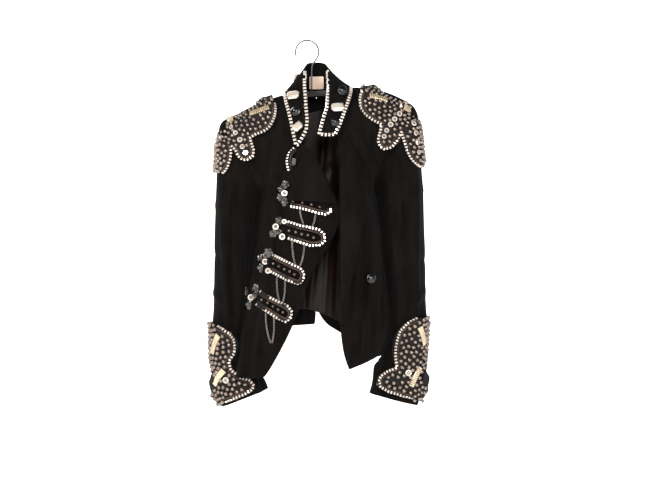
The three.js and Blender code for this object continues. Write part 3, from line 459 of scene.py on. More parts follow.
class Surfaces:
    """Looks for the place of a trim on the pieces that carry it."""

    def __init__(self, pieces: Iterable[bpy.types.Object]) -> None:
        """Keeps a search tree for each piece."""
        self.trees = []
        for piece in pieces:
            shape = bmesh.new()
            shape.from_mesh(piece.data)
            self.trees.append(BVHTree.FromBMesh(shape))
            shape.free()

    def look(self, inside: Vector, outwards: Vector) -> tuple[Vector, Vector] | None:
        """The outermost point and normal of the cloth, seen along a direction from outside."""
        start = inside + outwards * LOOK_FROM
        best = None
        for tree in self.trees:
            spot, normal, _, far = tree.ray_cast(start, -outwards, 2 * LOOK_FROM)
            if spot is not None and (best is None or far < best[2]):
                facing = normal if normal.dot(outwards) > 0 else -normal
                best = (spot, facing, far)
        return (best[0], best[1]) if best else None

    def face_on(self, x: float, z: float, face: Face = Face.FRONT) -> tuple[Vector, Vector] | None:
        """The point at x, z in millimetres that shows from the front or the back."""
        return self.look(Vector((x * MM, 0, z * MM)), Vector((0, face.value, 0)))

    def nearest(self, point: Vector) -> tuple[Vector, Vector]:
        """The nearest point of the cloth and its normal."""
        found = [tree.find_nearest(point) for tree in self.trees]
        spot, normal, _, _ = min(found, key=lambda hit: hit[3])
        return spot, normal


Corners = tuple[int, ...]
Form = tuple[list[Vector], list[Corners]]


class Heap:
    """Collects many small copies of simple forms into one mesh."""

    def __init__(self) -> None:
        """Starts empty."""
        self.points: list[Vector] = []
        self.faces: list[Corners] = []

    def add(self, form: Form, spot: Vector, normal: Vector, along: Vector, size: Vector) -> None:
        """Adds a form whose own z is set along the normal, and x along a direction, at a size."""
        up = normal.normalized()
        ahead = (along - up * along.dot(up)).normalized()
        side = up.cross(ahead)
        start = len(self.points)
        self.points += [spot + ahead * (p.x * size.x) + side * (p.y * size.y) + up * (p.z * size.z)
                        for p in form[0]]
        self.faces += [tuple(start + k for k in f) for f in form[1]]

    def place(self, name: str, finish: Finish, slot: str, nodes: Sequence[str] = (),
              smooth: bool = True) -> None:
        """Makes one piece of all that was collected."""
        mesh = bpy.data.meshes.new(name)
        mesh.from_pydata([tuple(p) for p in self.points], [], self.faces)
        mesh.validate()
        new_piece(name, mesh, finish, nodes, smooth)


def ring_faces(rows: int, sides: int, closed: bool = False) -> list[Corners]:
    """The faces between neighbouring rings of points, with the last ring joined to the first if closed."""
    faces = []
    for row in range(rows if closed else rows - 1):
        start, above = row * sides, (row + 1) % rows * sides
        for k in range(sides):
            after = (k + 1) % sides
            faces.append((start + k, start + after, above + after, above + k))
    return faces


def capped(points: list[Vector], sides: int) -> Form:
    """A closed form from stacked rings of points, with a flat face on its first and its last ring."""
    rows = len(points) // sides
    ends = [tuple(reversed(range(sides))), tuple((rows - 1) * sides + k for k in range(sides))]
    return points, ring_faces(rows, sides) + ends


def turned_form(profile: Sequence[Point], sides: int, twist: float = 0.0) -> Form:
    """A closed form turned about its z: rings of a radius and a height, ends closed by flat faces.

    Args:
        profile: radius and height of each ring, from the bottom.
        sides: points in a ring.
        twist: turn of every second ring, as a share of a side, which cuts facets.

    Returns:
        Points and faces.
    """
    points = []
    for row, (radius, height) in enumerate(profile):
        for k in range(sides):
            angle = 2 * math.pi * (k + 0.5 + twist * (row % 2)) / sides
            points.append(Vector((radius * math.cos(angle), radius * math.sin(angle), height)))
    return capped(points, sides)


LEAST_CORNER = 0.06  # of a step-cut stone's half length


def emerald_form(profile: Sequence[Point], half_wide: float = 0.72, corner: float = 0.34) -> Form:
    """A step-cut stone: oblong rings with cut corners, one unit long to each side.

    Args:
        profile: inset and height of each ring, from the bottom.
        half_wide: half of the width.
        corner: what is cut off each corner.

    Returns:
        Points and faces.
    """
    points = []
    for inset, height in profile:
        a, b, c = 1.0 - inset, half_wide - inset, max(corner - 0.5 * inset, LEAST_CORNER)
        ring = ((a, b - c), (a - c, b), (c - a, b), (-a, b - c),
                (-a, c - b), (c - a, -b), (a - c, -b), (a, c - b))
        points += [Vector((x, y, height)) for x, y in ring]
    return capped(points, len(ring))


def dome_profile(rows: int, sunk: float) -> list[Point]:
    """The profile of a dome of radius one, with a part of a ball below its middle."""
    low, high = -math.asin(sunk), math.radians(84)
    angles = [low + (high - low) * k / rows for k in range(rows + 1)]
    return [(math.cos(a), math.sin(a)) for a in angles]


def ring_form(big: float, small: float, around: int = 12, section: int = 6) -> Form:
    """A ring, lying in its x, y plane."""
    points = []
    for i in range(around):
        a = 2 * math.pi * i / around
        for j in range(section):
            b = 2 * math.pi * j / section
            reach = big + small * math.cos(b)
            points.append(Vector((reach * math.cos(a), reach * math.sin(a), small * math.sin(b))))
    return points, [(a, d, c, b) for a, b, c, d in ring_faces(around, section, closed=True)]


# Small forms, one unit in radius: beads, stones, links and stitches.
PEARL_FORM = turned_form(dome_profile(5, 0.3), 12)
KNOT_FORM = turned_form(dome_profile(3, 0.5), 8)
CLAW_FORM = turned_form(dome_profile(3, 0.4), 8)
STITCH_FORM = turned_form(dome_profile(3, 0.1), 6)
CHATON_FORM = turned_form([(0.8, -0.35), (1.0, 0.15), (0.62, 0.62)], 8, 0.5)
TRILLION_FORM = turned_form([(1.0, -0.3), (1.04, 0.1), (0.78, 0.5), (0.5, 0.62)], 4)
BAGUETTE_FORM = turned_form([(1.3, -0.3), (1.35, 0.35), (1.0, 0.75)], 4)
STEP_CUT = emerald_form([(0.1, -0.1), (0.0, 0.1), (0.0, 0.3), (0.12, 0.5), (0.24, 0.62), (0.34, 0.68)])
SHALLOW_CUT = emerald_form([(0.1, -0.1), (0.0, 0.1), (0.0, 0.3), (0.14, 0.5), (0.3, 0.6)])
CUP_FORM = turned_form([(0.25, -0.2), (0.7, 0.05), (1.0, 0.4), (0.86, 0.46), (0.5, 0.2), (0.2, 0.08)], 10)
BUTTON_FORM = turned_form([(0.86, 0.0), (1.0, 0.2), (1.0, 0.42), (0.92, 0.55), (0.8, 0.5), (0.74, 0.56),
                           (0.6, 0.8), (0.34, 0.96), (0.12, 1.0)], 24)
LINK_FORM = ring_form(1.0, 0.3)
# Rings of foiled glass round the round stones, which paint their bright edges: painted highlights.
PATCH_RIM = ring_form(0.88, 0.24, 14)
ROSETTE_RIM = ring_form(0.9, 0.3, 14)


@dataclass
class Piping:
    """A rolled seam: a thin round ridge of wool along a route, which closes the seam's slit."""

    name: str
    route: tuple[Vector, ...]
    radius_mm: float
    closed: bool = False
    finish: Finish = WOOL

    def build(self) -> bpy.types.Object:
        """Makes the seam from short round rings."""
        sides, count = 8, len(self.route)
        points = []
        for k, spot in enumerate(self.route):
            before = self.route[k - 1] if k or self.closed else spot
            after = self.route[(k + 1) % count] if k < count - 1 or self.closed else spot
            along = (after - before).normalized()
            side = along.cross(Vector((0.31, 0.17, 0.93))).normalized()
            up = along.cross(side)
            for j in range(sides):
                angle = 2 * math.pi * j / sides
                reach = side * math.cos(angle) + up * math.sin(angle)
                points.append(tuple(spot + reach * self.radius_mm * MM))
        faces = ring_faces(count, sides, closed=True) if self.closed else capped(points, sides)[1]
        mesh = bpy.data.meshes.new(self.name)
        mesh.from_pydata(points, [], faces)
        return new_piece(self.name, mesh, self.finish)


def even_steps(points: Sequence[Vector], pitch: float) -> list[tuple[Vector, Vector]]:
    """Points at even steps along a route, each with the route's direction there.

    Args:
        points: the route.
        pitch: the wanted step, which is adjusted to fill the route.

    Returns:
        Pairs of a point and a direction.
    """
    lengths = [(b - a).length for a, b in zip(points, points[1:])]
    total = sum(lengths)
    count = max(1, round(total / pitch))
    steps = []
    for k in range(count + 1):
        want = total * k / count
        for (a, b), length in zip(zip(points, points[1:]), lengths):
            if want <= length or (a, b) == (points[-2], points[-1]):
                share = min(want / max(length, 1e-9), 1.0)
                steps.append((a.lerp(b, share), (b - a).normalized()))
                break
            want -= length
    return steps


def middle_of(outline: Sequence[Point]) -> Vector:
    """The mean of an outline's points, in millimetres."""
    return Vector((sum(x for x, _ in outline) / len(outline), 0, sum(z for _, z in outline) / len(outline)))


def inward_directions(line: Sequence[Point], middle: Vector) -> list[Vector]:
    """The directions square to a line at each of its points, towards the middle of what it borders."""
    directions = []
    last = len(line) - 1
    for k, (x, z) in enumerate(line):
        before, after = line[max(k - 1, 0)], line[min(k + 1, last)]
        along = Vector((after[0] - before[0], 0, after[1] - before[1])).normalized()
        inwards = Vector((-along.z, 0, along.x))
        if inwards.dot(middle - Vector((x, 0, z))) < 0:
            inwards.negate()
        directions.append(inwards)
    return directions


def shifted_route(line: Sequence[Point], directions: Sequence[Vector], shift: float, carrier: Surfaces,
                  face: Face = Face.FRONT) -> list[Vector]:
    """A line moved sideways by some millimetres, on the surface that carries it."""
    hits = [carrier.face_on(x + away.x * shift, z + away.z * shift, face)
            for (x, z), away in zip(line, directions)]
    return [hit[0] for hit in hits if hit]


# How much further than in the solid the left lapel's free edge stands off the front.
LAPEL_STAND_MM = 4.0


@dataclass
class Body:
    """The wool fronts, backs, collar and lapels."""

    right_front: tuple[Crease, ...] = (
        Crease(-60, -250, -96, -640, 16, 5.5),
        Crease(-84, -330, -112, -655, 12, -5.0),
        Crease(-36, -300, -70, -470, 13, -3.5),
        Crease(-100, -300, -30, -250, 12, 3.5),
        Crease(-96, -330, -10, -290, 10, -3.0),
        Crease(-58, -585, -104, -668, 10, 4.0),
        Crease(-30, -420, -50, -560, 12, 2.5),
        Crease(-50, -170, -70, -300, 14, 3.0),
    )
    left_front: tuple[Crease, ...] = (
        Crease(118, -420, 100, -640, 13, -6.0),
        Crease(134, -330, 124, -600, 11, 4.5),
        Crease(96, -470, 84, -640, 9, 4.0),
        Crease(150, -440, 142, -600, 9, -4.0),
        Crease(104, -180, 134, -300, 13, 3.5),
        Crease(96, -240, 128, -330, 9, -3.0),
        Crease(112, -530, 108, -650, 8, 3.0),
        Crease(132, -200, 136, -360, 8, -5.0),
    )
    back: tuple[Crease, ...] = (
        Crease(-60, -220, -30, -560, 16, 4.0),
        Crease(60, -240, 66, -560, 15, -4.0),
        Crease(100, -300, 112, -560, 13, 4.5),
        Crease(-95, -320, -100, -570, 12, -4.5),
        Crease(-10, -330, -6, -560, 10, 3.0),
        Crease(110, -290, 40, -250, 13, 3.0),
        Crease(-80, -300, -20, -250, 13, 3.0),
    )

    def build(self) -> dict[str, bpy.types.Object]:
        """Makes the wool pieces."""
        made = {}
        right, left, behind = map(folded_front, (self.right_front, self.left_front, self.back))
        for name, levels, mover in (("front_right", 3, right), ("front_left", 3, left),
                                    ("back_right", 2, behind), ("back_left", 2, behind),
                                    ("collar", 3, self.fallen_collar), ("lapel_right", 3, right),
                                    ("lapel_left", 3, self.rolled_lapel(left))):
            made[name] = fine_piece(name.replace("_", "_wool_", 1), name, WOOL, levels, mover)
        return made

    @staticmethod
    def fallen_collar(point: Vector) -> Vector:
        """Behind the neck the collar's low edge falls over the neck seam."""
        low = share_of(-point.z / MM, 70, 100)
        behind = share_of(point.y / MM, 25, 37)
        return Vector((0, 1.6, -7.5)) * (low * behind * MM)

    @staticmethod
    def rolled_lapel(hang: Mover) -> Mover:
        """The left lapel hangs as the front does, and its free edge stands further off it."""
        def move(point: Vector) -> Vector:
            """Moves a point with the front, and forwards by its distance from the roll."""
            stand = share_of(point.x / MM, 74, 114) * LAPEL_STAND_MM
            return hang(point) + FRONT * stand * MM
        return move


@dataclass
class Sleeves:
    """The two set-in sleeves."""

    right_creases: tuple[Crease, ...] = (
        Crease(-172, -262, -160, -560, 12, 5.0),
        Crease(-146, -280, -148, -540, 10, -5.0),
        Crease(-128, -330, -134, -560, 9, 4.5),
        Crease(-185, -430, -130, -470, 10, -3.0),
        Crease(-186, -505, -140, -560, 9, 3.5),
        Crease(-180, -330, -120, -372, 10, 2.5),
        Crease(-120, -640, -96, -700, 8, 4.0),
    )
    left_creases: tuple[Crease, ...] = (
        Crease(218, -262, 216, -550, 12, 5.0),
        Crease(190, -260, 196, -540, 10, -5.5),
        Crease(164, -300, 180, -540, 9, 5.0),
        Crease(236, -440, 176, -480, 10, -3.0),
        Crease(232, -505, 182, -560, 9, 3.5),
        Crease(150, -330, 226, -300, 10, 2.5),
        Crease(144, -610, 136, -700, 8, 4.0),
    )
    right_middle: tuple[Point, ...] = ((-150, -134), (-300, -146), (-545, -159), (-615, -168), (-690, -137),
                                       (-735, -124))
    left_middle: tuple[Point, ...] = ((-130, 176), (-300, 188), (-545, 203), (-620, 203), (-690, 184),
                                      (-732, 172))

    def build(self) -> dict[str, bpy.types.Object]:
        """Makes both sleeves."""
        made = {}
        for side, creases, middle in (("right", self.right_creases, self.right_middle),
                                      ("left", self.left_creases, self.left_middle)):
            node = f"sleeve_{side}"
            made[node] = fine_piece(f"sleeve_wool_{side}", node, WOOL, 3,
                                    folded_sleeve(creases, middle))
        return made


@dataclass
class Seams:
    """The rolled seams: both armholes and the centre back."""

    armholes: tuple[tuple[str, float, float, float, float], ...] = (
        ("armhole_seam_right", -152.6, -153.0, -98.6, -312.4),
        ("armhole_seam_left", 200.6, -121.0, 134.6, -302.4))
    half_depth: float = 52.0
    radius_mm: float = 1.5
    steps: int = 56
    seam_top: float = -112.0
    seam_step: float = 17.5
    seam_points: int = 24
    seam_sunk_mm: float = 1.3

    def build(self) -> None:
        """Makes the seams."""
        for name, tip_x, tip_z, low_x, low_z in self.armholes:
            route = []
            for k in range(self.steps):
                turn = 2 * math.pi * k / self.steps
                share = (1 - math.cos(turn)) / 2
                route.append(Vector((tip_x + (low_x - tip_x) * share, self.half_depth * math.sin(turn),
                                     tip_z + (low_z - tip_z) * share)) * MM)
            Piping(name, tuple(route), self.radius_mm, closed=True).build()
        backs = Surfaces([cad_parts["back_right"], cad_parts["back_left"]])
        route = []
        for k in range(self.seam_points):
            hit = backs.face_on(NECK_X_MM + 1.0, self.seam_top - self.seam_step * k, Face.BACK)
            if hit:
                route.append(Vector((NECK_X_MM * MM, hit[0].y - self.seam_sunk_mm * MM, hit[0].z)))
        Piping("centre_back_seam", tuple(route), self.radius_mm).build()


@dataclass
class Inside:
    """The satin lining of the back, the label and the hanger."""

    back: Mover
    rest_mm: float = 2.6  # how far the lining stands off the back between its folds, and at the least
    least_mm: float = 0.6
    folds: tuple[Crease, ...] = (
        Crease(-14, -200, -34, -520, 11, 5.5),
        Crease(34, -170, 8, -500, 12, 5.5),
        Crease(50, -240, 34, -540, 9, -2.5),
        Crease(66, -260, 58, -520, 8, 5.5),
        Crease(72, -330, 24, -430, 12, 2.5),
    )

    def build(self) -> None:
        """Makes the lining and dresses the label and the hanger."""
        lining = fine_piece("lining_satin", "back_lining", SATIN, 3, self.inner_folds)
        label = fine_piece("label_tape", "neck_label", LABEL, 3)
        self.stitch_label()
        fine_piece("hanger_bar_flocked", "hanger_bar", FLOCK, 2)
        fine_piece("hook_wire", "hanger_hook", CHROME, 2)

    def inner_folds(self, point: Vector) -> Vector:
        """The lining hangs with the back, and its own folds stand off the wool, towards the front."""
        own = sum(crease.lift(point.x / MM, point.z / MM) for crease in self.folds) * MM
        own += wrinkle(point, 1.9, 34)
        return self.back(point) + FRONT * max(own + self.rest_mm * MM, self.least_mm * MM)

    def stitch_label(self) -> None:
        """Sews the label down with a row of stitches inside its edge."""
        low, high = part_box("neck_label")
        inset = 1.6 * MM
        heap = Heap()
        y = low.y
        corners = [Vector((low.x + inset, y, high.z - inset)), Vector((high.x - inset, y, high.z - inset)),
                   Vector((high.x - inset, y, low.z + inset)), Vector((low.x + inset, y, low.z + inset))]
        carrier = Surfaces([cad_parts["neck_label"]])
        for a, b in zip(corners, corners[1:] + corners[:1]):
            for spot, along in even_steps([a, b], 2.4 * MM):
                seat, _ = carrier.nearest(spot)
                heap.add(STITCH_FORM, seat, FRONT, along, Vector((1.0, 0.35, 0.3)) * MM)
        heap.place("label_stitches", LABEL_EDGE, "label_weave")


@dataclass
class PatchPlan:
    """A beaded patch: its border on the front, in millimetres, from one end to the other."""

    node: str
    border: tuple[Point, ...]
    outline: tuple[Point, ...]
    bars: tuple[tuple[Point, ...], ...]
    rounds: tuple[tuple[float, float, float], ...]


SHOULDER_RIGHT = PatchPlan(
    "shoulder_patch_right",
    ((-61, -128), (-59, -142), (-61, -156), (-66, -170), (-74, -181), (-86, -189), (-100, -194), (-109, -199),
     (-105, -211), (-101, -223), (-103, -236), (-114, -244), (-127, -245), (-138, -236), (-144, -223),
     (-147, -214), (-146, -232), (-150, -248), (-155, -260), (-163, -269)),
    ((-70, -117), (-108, -134), (-142, -149), (-163, -157), (-174, -168), (-180, -207), (-180, -262)),
    (((-112, -148), (-101, -145), (-90, -141), (-77, -136)),
     ((-173, -174), (-165, -168), (-157, -163), (-148, -158))),
    ((-150, -176, 9), (-141, -188, 9), (-132, -202, 10), (-127, -216, 9), (-121, -228, 9), (-172, -196, 9)))
SHOULDER_LEFT = PatchPlan(
    "shoulder_patch_left",
    ((106, -102), (102, -120), (104, -138), (116, -156), (130, -166), (145, -173), (141, -190), (138, -200),
     (139, -210), (144, -219), (153, -224), (169, -220), (181, -206), (186, -190), (191, -210), (197, -229),
     (208, -246), (217, -253), (224, -257)),
    ((114, -94), (156, -103), (190, -116), (212, -127), (226, -158), (229, -210), (230, -240)),
    (((126, -113), (137, -115), (148, -118), (159, -122)),
     ((186, -134), (196, -137), (206, -143), (214, -152))),
    ((184, -150, 10), (174, -161, 10), (166, -172, 10), (158, -184, 9), (153, -196, 9), (212, -170, 10),
     (216, -188, 10), (219, -206, 11), (222, -226, 9)))
CUFF_RIGHT = PatchPlan(
    "cuff_patch_right",
    ((-174, -569), (-162, -576), (-150, -585), (-142, -598), (-140, -612), (-142, -627), (-152, -642),
     (-148, -656), (-132, -670), (-112, -676), (-103, -688), (-106, -699), (-122, -709), (-146, -719),
     (-160, -725)),
    ((-190, -568), (-196, -614), (-195, -650), (-188, -690), (-175, -728)),
    (((-176, -590), (-181, -600), (-185, -611), (-188, -624)),
     ((-166, -660), (-173, -668), (-180, -679), (-184, -690))),
    ((-161, -679, 12),))
CUFF_LEFT = PatchPlan(
    "cuff_patch_left",
    ((216, -553), (197, -563), (183, -579), (177, -597), (174, -612), (173, -628), (174, -642), (177, -651),
     (158, -659), (145, -669), (141, -680), (144, -694), (161, -704), (187, -712), (208, -719)),
    ((240, -556), (244, -606), (242, -647), (237, -680), (225, -722)),
    (((225, -574), (229, -584), (232, -595), (234, -607)),
     ((225, -655), (220, -665), (214, -677), (208, -690))),
    ((202, -664, 12),))


@dataclass
class Beadwork:
    """The four thick beaded patches, worked with pearls, stones and gilt bars."""

    plans: tuple[PatchPlan, ...] = (SHOULDER_RIGHT, SHOULDER_LEFT, CUFF_RIGHT, CUFF_LEFT)
    pearl_mm: float = 8.4
    pitch_mm: float = 9.6
    border_pitch_mm: float = 6.4
    cord_pitch_mm: float = 2.6
    bar_pitch_mm: float = 3.9
    stone_inset_mm: float = 3.2
    cord_inset_mm: float = 8.2
    stone_size: Vector = field(default_factory=lambda: Vector((2.5, 3.7, 3.2)) * MM)
    knot_size: Vector = field(default_factory=lambda: Vector((1.7, 1.2, 1.2)) * MM)
    bar_size: Vector = field(default_factory=lambda: Vector((1.6, 6.4, 3.6)) * MM)
    # The radius that a stone, a knot of the cord and a bar keep free of pearls.
    stone_room_mm: float = 3.4
    knot_room_mm: float = 1.4
    bar_room_mm: float = 5.2
    candidates: int = 9000
    ground_smoothing: int = 7

    def build(self) -> None:
        """Makes every patch."""
        for plan in self.plans:
            ground = fine_piece(plan.node.replace("patch", "felt"), plan.node, FELT, 2,
                                even=self.ground_smoothing)
            carrier = Surfaces([ground])
            taken = self.borders(plan, carrier)
            taken += self.bars_and_rounds(plan, carrier)
            self.pearls(plan, ground, taken)

    def borders(self, plan: PatchPlan, carrier: Surfaces) -> list[tuple[Vector, float]]:
        """Sets stones along the border, with a bronze cord inside it, on the front and the back.

        Returns:
            The places that the stones and the cord take, each with its radius.
        """
        stones, cord = Heap(), Heap()
        taken: list[tuple[Vector, float]] = []
        inwards = inward_directions(plan.border, middle_of(plan.outline))
        for face in Face:
            for inset, pitch, heap in ((self.stone_inset_mm, self.border_pitch_mm, stones),
                                       (self.cord_inset_mm, self.cord_pitch_mm, cord)):
                route = shifted_route(plan.border, inwards, inset, carrier, face)
                for spot, along in even_steps(route, pitch * MM):
                    seat, normal = carrier.nearest(spot)
                    if heap is stones:
                        heap.add(TRILLION_FORM, seat, normal, along, self.stone_size)
                        taken.append((seat, self.stone_room_mm * MM))
                    else:
                        heap.add(KNOT_FORM, seat, normal, along, self.knot_size)
                        taken.append((seat, self.knot_room_mm * MM))
        name = plan.node.replace("patch", "border")
        stones.place(name + "_stones", CRYSTAL, "crystal", smooth=False)
        cord.place(name + "_cord", LUREX, "bronze_bead")
        return taken

    def bars_and_rounds(self, plan: PatchPlan, carrier: Surfaces) -> list[tuple[Vector, float]]:
        """Sets the gilt bars, of small baguettes side by side, and the round stones.

        Returns:
            The places that they take, each with its radius.
        """
        bars, rounds, rims = Heap(), Heap(), Heap()
        taken: list[tuple[Vector, float]] = []
        for face in Face:
            for bar in plan.bars:
                hits = [carrier.face_on(x, z, face) for x, z in bar]
                route = [hit[0] for hit in hits if hit]
                if len(route) < 2:
                    continue
                for spot, along in even_steps(route, self.bar_pitch_mm * MM):
                    seat, normal = carrier.nearest(spot)
                    bars.add(BAGUETTE_FORM, seat, normal, along, self.bar_size)
                    taken.append((seat, self.bar_room_mm * MM))
            for x, z, wide in plan.rounds:
                hit = carrier.face_on(x, z, face)
                if hit:
                    (seat, normal), size, along = hit, wide / 2 * MM, Vector((1, 0, 0.3))
                    rounds.add(CHATON_FORM, seat, normal, along, Vector((0.8, 0.8, 0.7)) * size)
                    # A ring round the stone paints its bright edge: a painted highlight.
                    rims.add(PATCH_RIM, seat + normal * 0.8 * MM, normal, along, Vector((1, 1, 1)) * size)
                    taken.append((seat, size))
        name = plan.node.replace("patch", "gilt")
        bars.place(name + "_bars", GILT, "gold_bar", smooth=False)
        # The round stones' middles are coloured dark as a painted reflection.
        rounds.place(name + "_rounds", PAINTED_DARK_GLASS, "crystal", smooth=False)
        rims.place(name + "_rims", CRYSTAL, "crystal", smooth=False)
        return taken

    def pearls(self, plan: PatchPlan, ground: bpy.types.Object, taken: list[tuple[Vector, float]]) -> None:
        """Fills the ground with pearls in rows that follow the border."""
        mesh = ground.data
        mesh.calc_loop_triangles()
        triangles = [t for t in mesh.loop_triangles if self.is_outer(ground, mesh, t)]
        weights = [t.area for t in triangles]
        edge = [spot for spot, radius in taken if radius < 2 * MM]
        picks = []
        for triangle in RNG.choices(triangles, weights, k=self.candidates):
            a, b, c = (mesh.vertices[k].co for k in triangle.vertices)
            s, t = RNG.random(), RNG.random()
            if s + t > 1:
                s, t = 1 - s, 1 - t
            point = a + (b - a) * s + (c - a) * t
            normal = Vector(triangle.normal)
            inner = min(((point - spot).length for spot in edge), default=0.0)
            picks.append((inner, point, normal))
        picks.sort(key=lambda pick: pick[0])
        radius = self.pearl_mm / 2 * MM
        cells: dict[tuple[int, int, int], list[Vector]] = {}
        size = self.pitch_mm * MM
        heap = Heap()
        for _, point, normal in picks:
            cell = tuple(int(math.floor(v / size)) for v in point)
            near = [q for dx in (-1, 0, 1) for dy in (-1, 0, 1) for dz in (-1, 0, 1)
                    for q in cells.get((cell[0] + dx, cell[1] + dy, cell[2] + dz), ())]
            if any((point - q).length < size for q in near):
                continue
            if any((point - spot).length < radius * 0.92 + width for spot, width in taken):
                continue
            cells.setdefault(cell, []).append(point)
            ball = radius * (0.78 if normal.z > 0.6 else 1.0)
            heap.add(PEARL_FORM, point + normal * ball * 0.15, normal, Vector((0.3, 0.2, 1)),
                     Vector((ball, ball, ball)))
        heap.place(plan.node.replace("patch", "pearls"), PEARL, "bronze_bead")

    @staticmethod
    def is_outer(ground: bpy.types.Object, mesh: bpy.types.Mesh,
                 triangle: bpy.types.MeshLoopTriangle) -> bool:
        """Whether a triangle lies on the outer face of the ground: nothing of the ground is above it."""
        centre = sum((mesh.vertices[k].co for k in triangle.vertices), Vector()) / 3
        normal = Vector(triangle.normal)
        hit, _, _, _ = ground.ray_cast(centre + normal * 0.4 * MM, normal, distance=0.012)
        under, _, _, _ = ground.ray_cast(centre - normal * 0.4 * MM, -normal, distance=0.011)
        return not hit and under and abs(centre.y) < 0.2 and normal.dot(
            Vector((centre.x - 0.018, centre.y * 2.5, 0.0))) > -0.02


@dataclass
class CollarTrim:
    """Stones round the two wings of the collar, the large stones and the jet buttons."""

    right_wing: tuple[Point, ...] = ((-4, -62), (-4, -90), (-1, -118), (2, -142), (4, -164), (1, -184),
                                     (-8, -200), (-17, -214), (-21, -215), (-27, -192), (-33, -168),
                                     (-39, -145), (-44, -124), (-46, -108))
    left_wing: tuple[Point, ...] = ((40, -60), (40, -80), (40, -110), (37, -136), (31, -160), (23, -193),
                                    (34, -195), (48, -195), (57, -194), (66, -176), (76, -152), (84, -128),
                                    (89, -108), (90, -94))
    pitch_mm: float = 7.3
    stone_size: Vector = field(default_factory=lambda: Vector((2.9, 4.6, 3.2)) * MM)
    insets_mm: tuple[float, ...] = (3.4, 5.0, 6.5, 8.0, 10.0)  # tried in turn, until one meets the collar
    lean_to_front: float = 0.9

    def build(self, collar: bpy.types.Object) -> None:
        """Makes the collar's trim."""
        carrier = Surfaces([collar])
        for side, wing in (("right", self.right_wing), ("left", self.left_wing)):
            heap = Heap()
            middle = middle_of(wing)
            route = []
            for x, z in wing:
                inwards = (middle - Vector((x, 0, z))).normalized()
                looks = (carrier.face_on(x + inwards.x * inset, z + 0.4 * inwards.z * inset)
                         for inset in self.insets_mm)
                hit = next((look for look in looks if look and look[0].y < -5 * MM), None)
                if hit:
                    route.append(hit[0])
            for spot, along in even_steps(route, self.pitch_mm * MM):
                seat, normal = carrier.nearest(spot)
                if normal.y > 0:
                    normal = -normal
                normal = (normal + FRONT * self.lean_to_front).normalized()
                heap.add(TRILLION_FORM, seat, normal, along, self.stone_size)
            heap.place(f"collar_stones_{side}", CRYSTAL, "crystal", smooth=False)
        self.seam(carrier)
        self.large_stones(carrier)
        self.side_stone(carrier)

    @staticmethod
    def side_stone(carrier: Surfaces) -> None:
        """The large stone on the side of the stand, which the front shows edge-on."""
        inside, outwards = Vector((0.004, 0.004, -0.088)), Vector((-0.86, 0.12, 0.5)).normalized()
        hit = carrier.look(inside, outwards)
        if hit:
            heap = Heap()
            heap.add(STEP_CUT, hit[0] + outwards * 0.5 * MM, outwards, Vector((0.2, 1, 0.35)),
                     Vector((10.5, 10.5, 8)) * MM)
            heap.place("side_stone_cut", CHAMPAGNE, "crystal", smooth=False)

    def large_stones(self, carrier: Surfaces) -> None:
        """Cuts the octagon stones, each in a claw setting, and turns the jet buttons."""
        stones = {"stone_1": (-27, -113, -0.1, 12.6), "stone_2": (-18, -177, 0.75, 10.6),
                  "stone_3": (61, -139, 0.1, 12.6)}
        for node, (x, z, turn, half_long) in stones.items():
            seat, normal = carrier.face_on(x, z)
            along = Vector((math.cos(turn), 0, math.sin(turn)))
            low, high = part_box(node)
            spot = Vector((seat.x, min(seat.y, high.y) - 1.5 * MM, seat.z))
            stone, claws = Heap(), Heap()
            size = Vector((half_long, half_long, 9.0)) * MM
            stone.add(STEP_CUT, spot, normal, along, size)
            stone.place(node + "_cut", CHAMPAGNE, "crystal", [node], smooth=False)
            side = normal.cross(along)
            for a, b in ((-0.9, -0.55), (-0.9, 0.55), (0.9, -0.55), (0.9, 0.55)):
                place = spot + along * a * size.x * 0.93 + side * b * size.y * 0.95 + normal * 3.4 * MM
                claws.add(CLAW_FORM, place, normal, along, Vector((1.5, 1.5, 1.6)) * MM)
            claws.place(node + "_claws", CHAIN, "chain_metal")
        for node in ("collar_button_1", "collar_button_2", "collar_button_3", "front_button"):
            self.button(node)

    @staticmethod
    def button(node: str) -> None:
        """Turns a jet button with a raised rim and a facetted dome, in its solid's place."""
        low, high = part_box(node)
        centre = (low + high) / 2
        heap = Heap()
        tilt = Vector((0.12, -1, 0.1)) if centre.x > 20 * MM else Vector((-0.15, -1, 0.1))
        radius = (high.z - low.z) / 2 + 0.4 * MM
        heap.add(BUTTON_FORM, Vector((centre.x, high.y - 4.5 * MM, centre.z)), tilt, Vector((1, 0, 0)),
                 Vector((radius, radius, high.y - low.y - 3.5 * MM)))
        heap.place(node + "_turned", JET, "jet", [node])

    @staticmethod
    def seam(carrier: Surfaces) -> None:
        """Sews a row of top stitches along the upper edge of the stand."""
        _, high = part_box("collar")
        heap = Heap()
        middle = Vector((NECK_X_MM * MM, 0, high.z - 5 * MM))
        route = []
        for k in range(25):
            angle = math.pi * (0.1 + 0.8 * k / 24)
            outwards = Vector((-26 * math.cos(angle), 40 * math.sin(angle), 0)).normalized()
            hit = carrier.look(middle, outwards)
            if hit:
                route.append(hit[0])
        for spot, along in even_steps(route, 3.2 * MM):
            seat, normal = carrier.nearest(spot)
            heap.add(STITCH_FORM, seat, normal, along, Vector((1.2, 0.35, 0.3)) * MM)
        heap.place("collar_top_stitches", SEAM_THREAD, "black_wool")


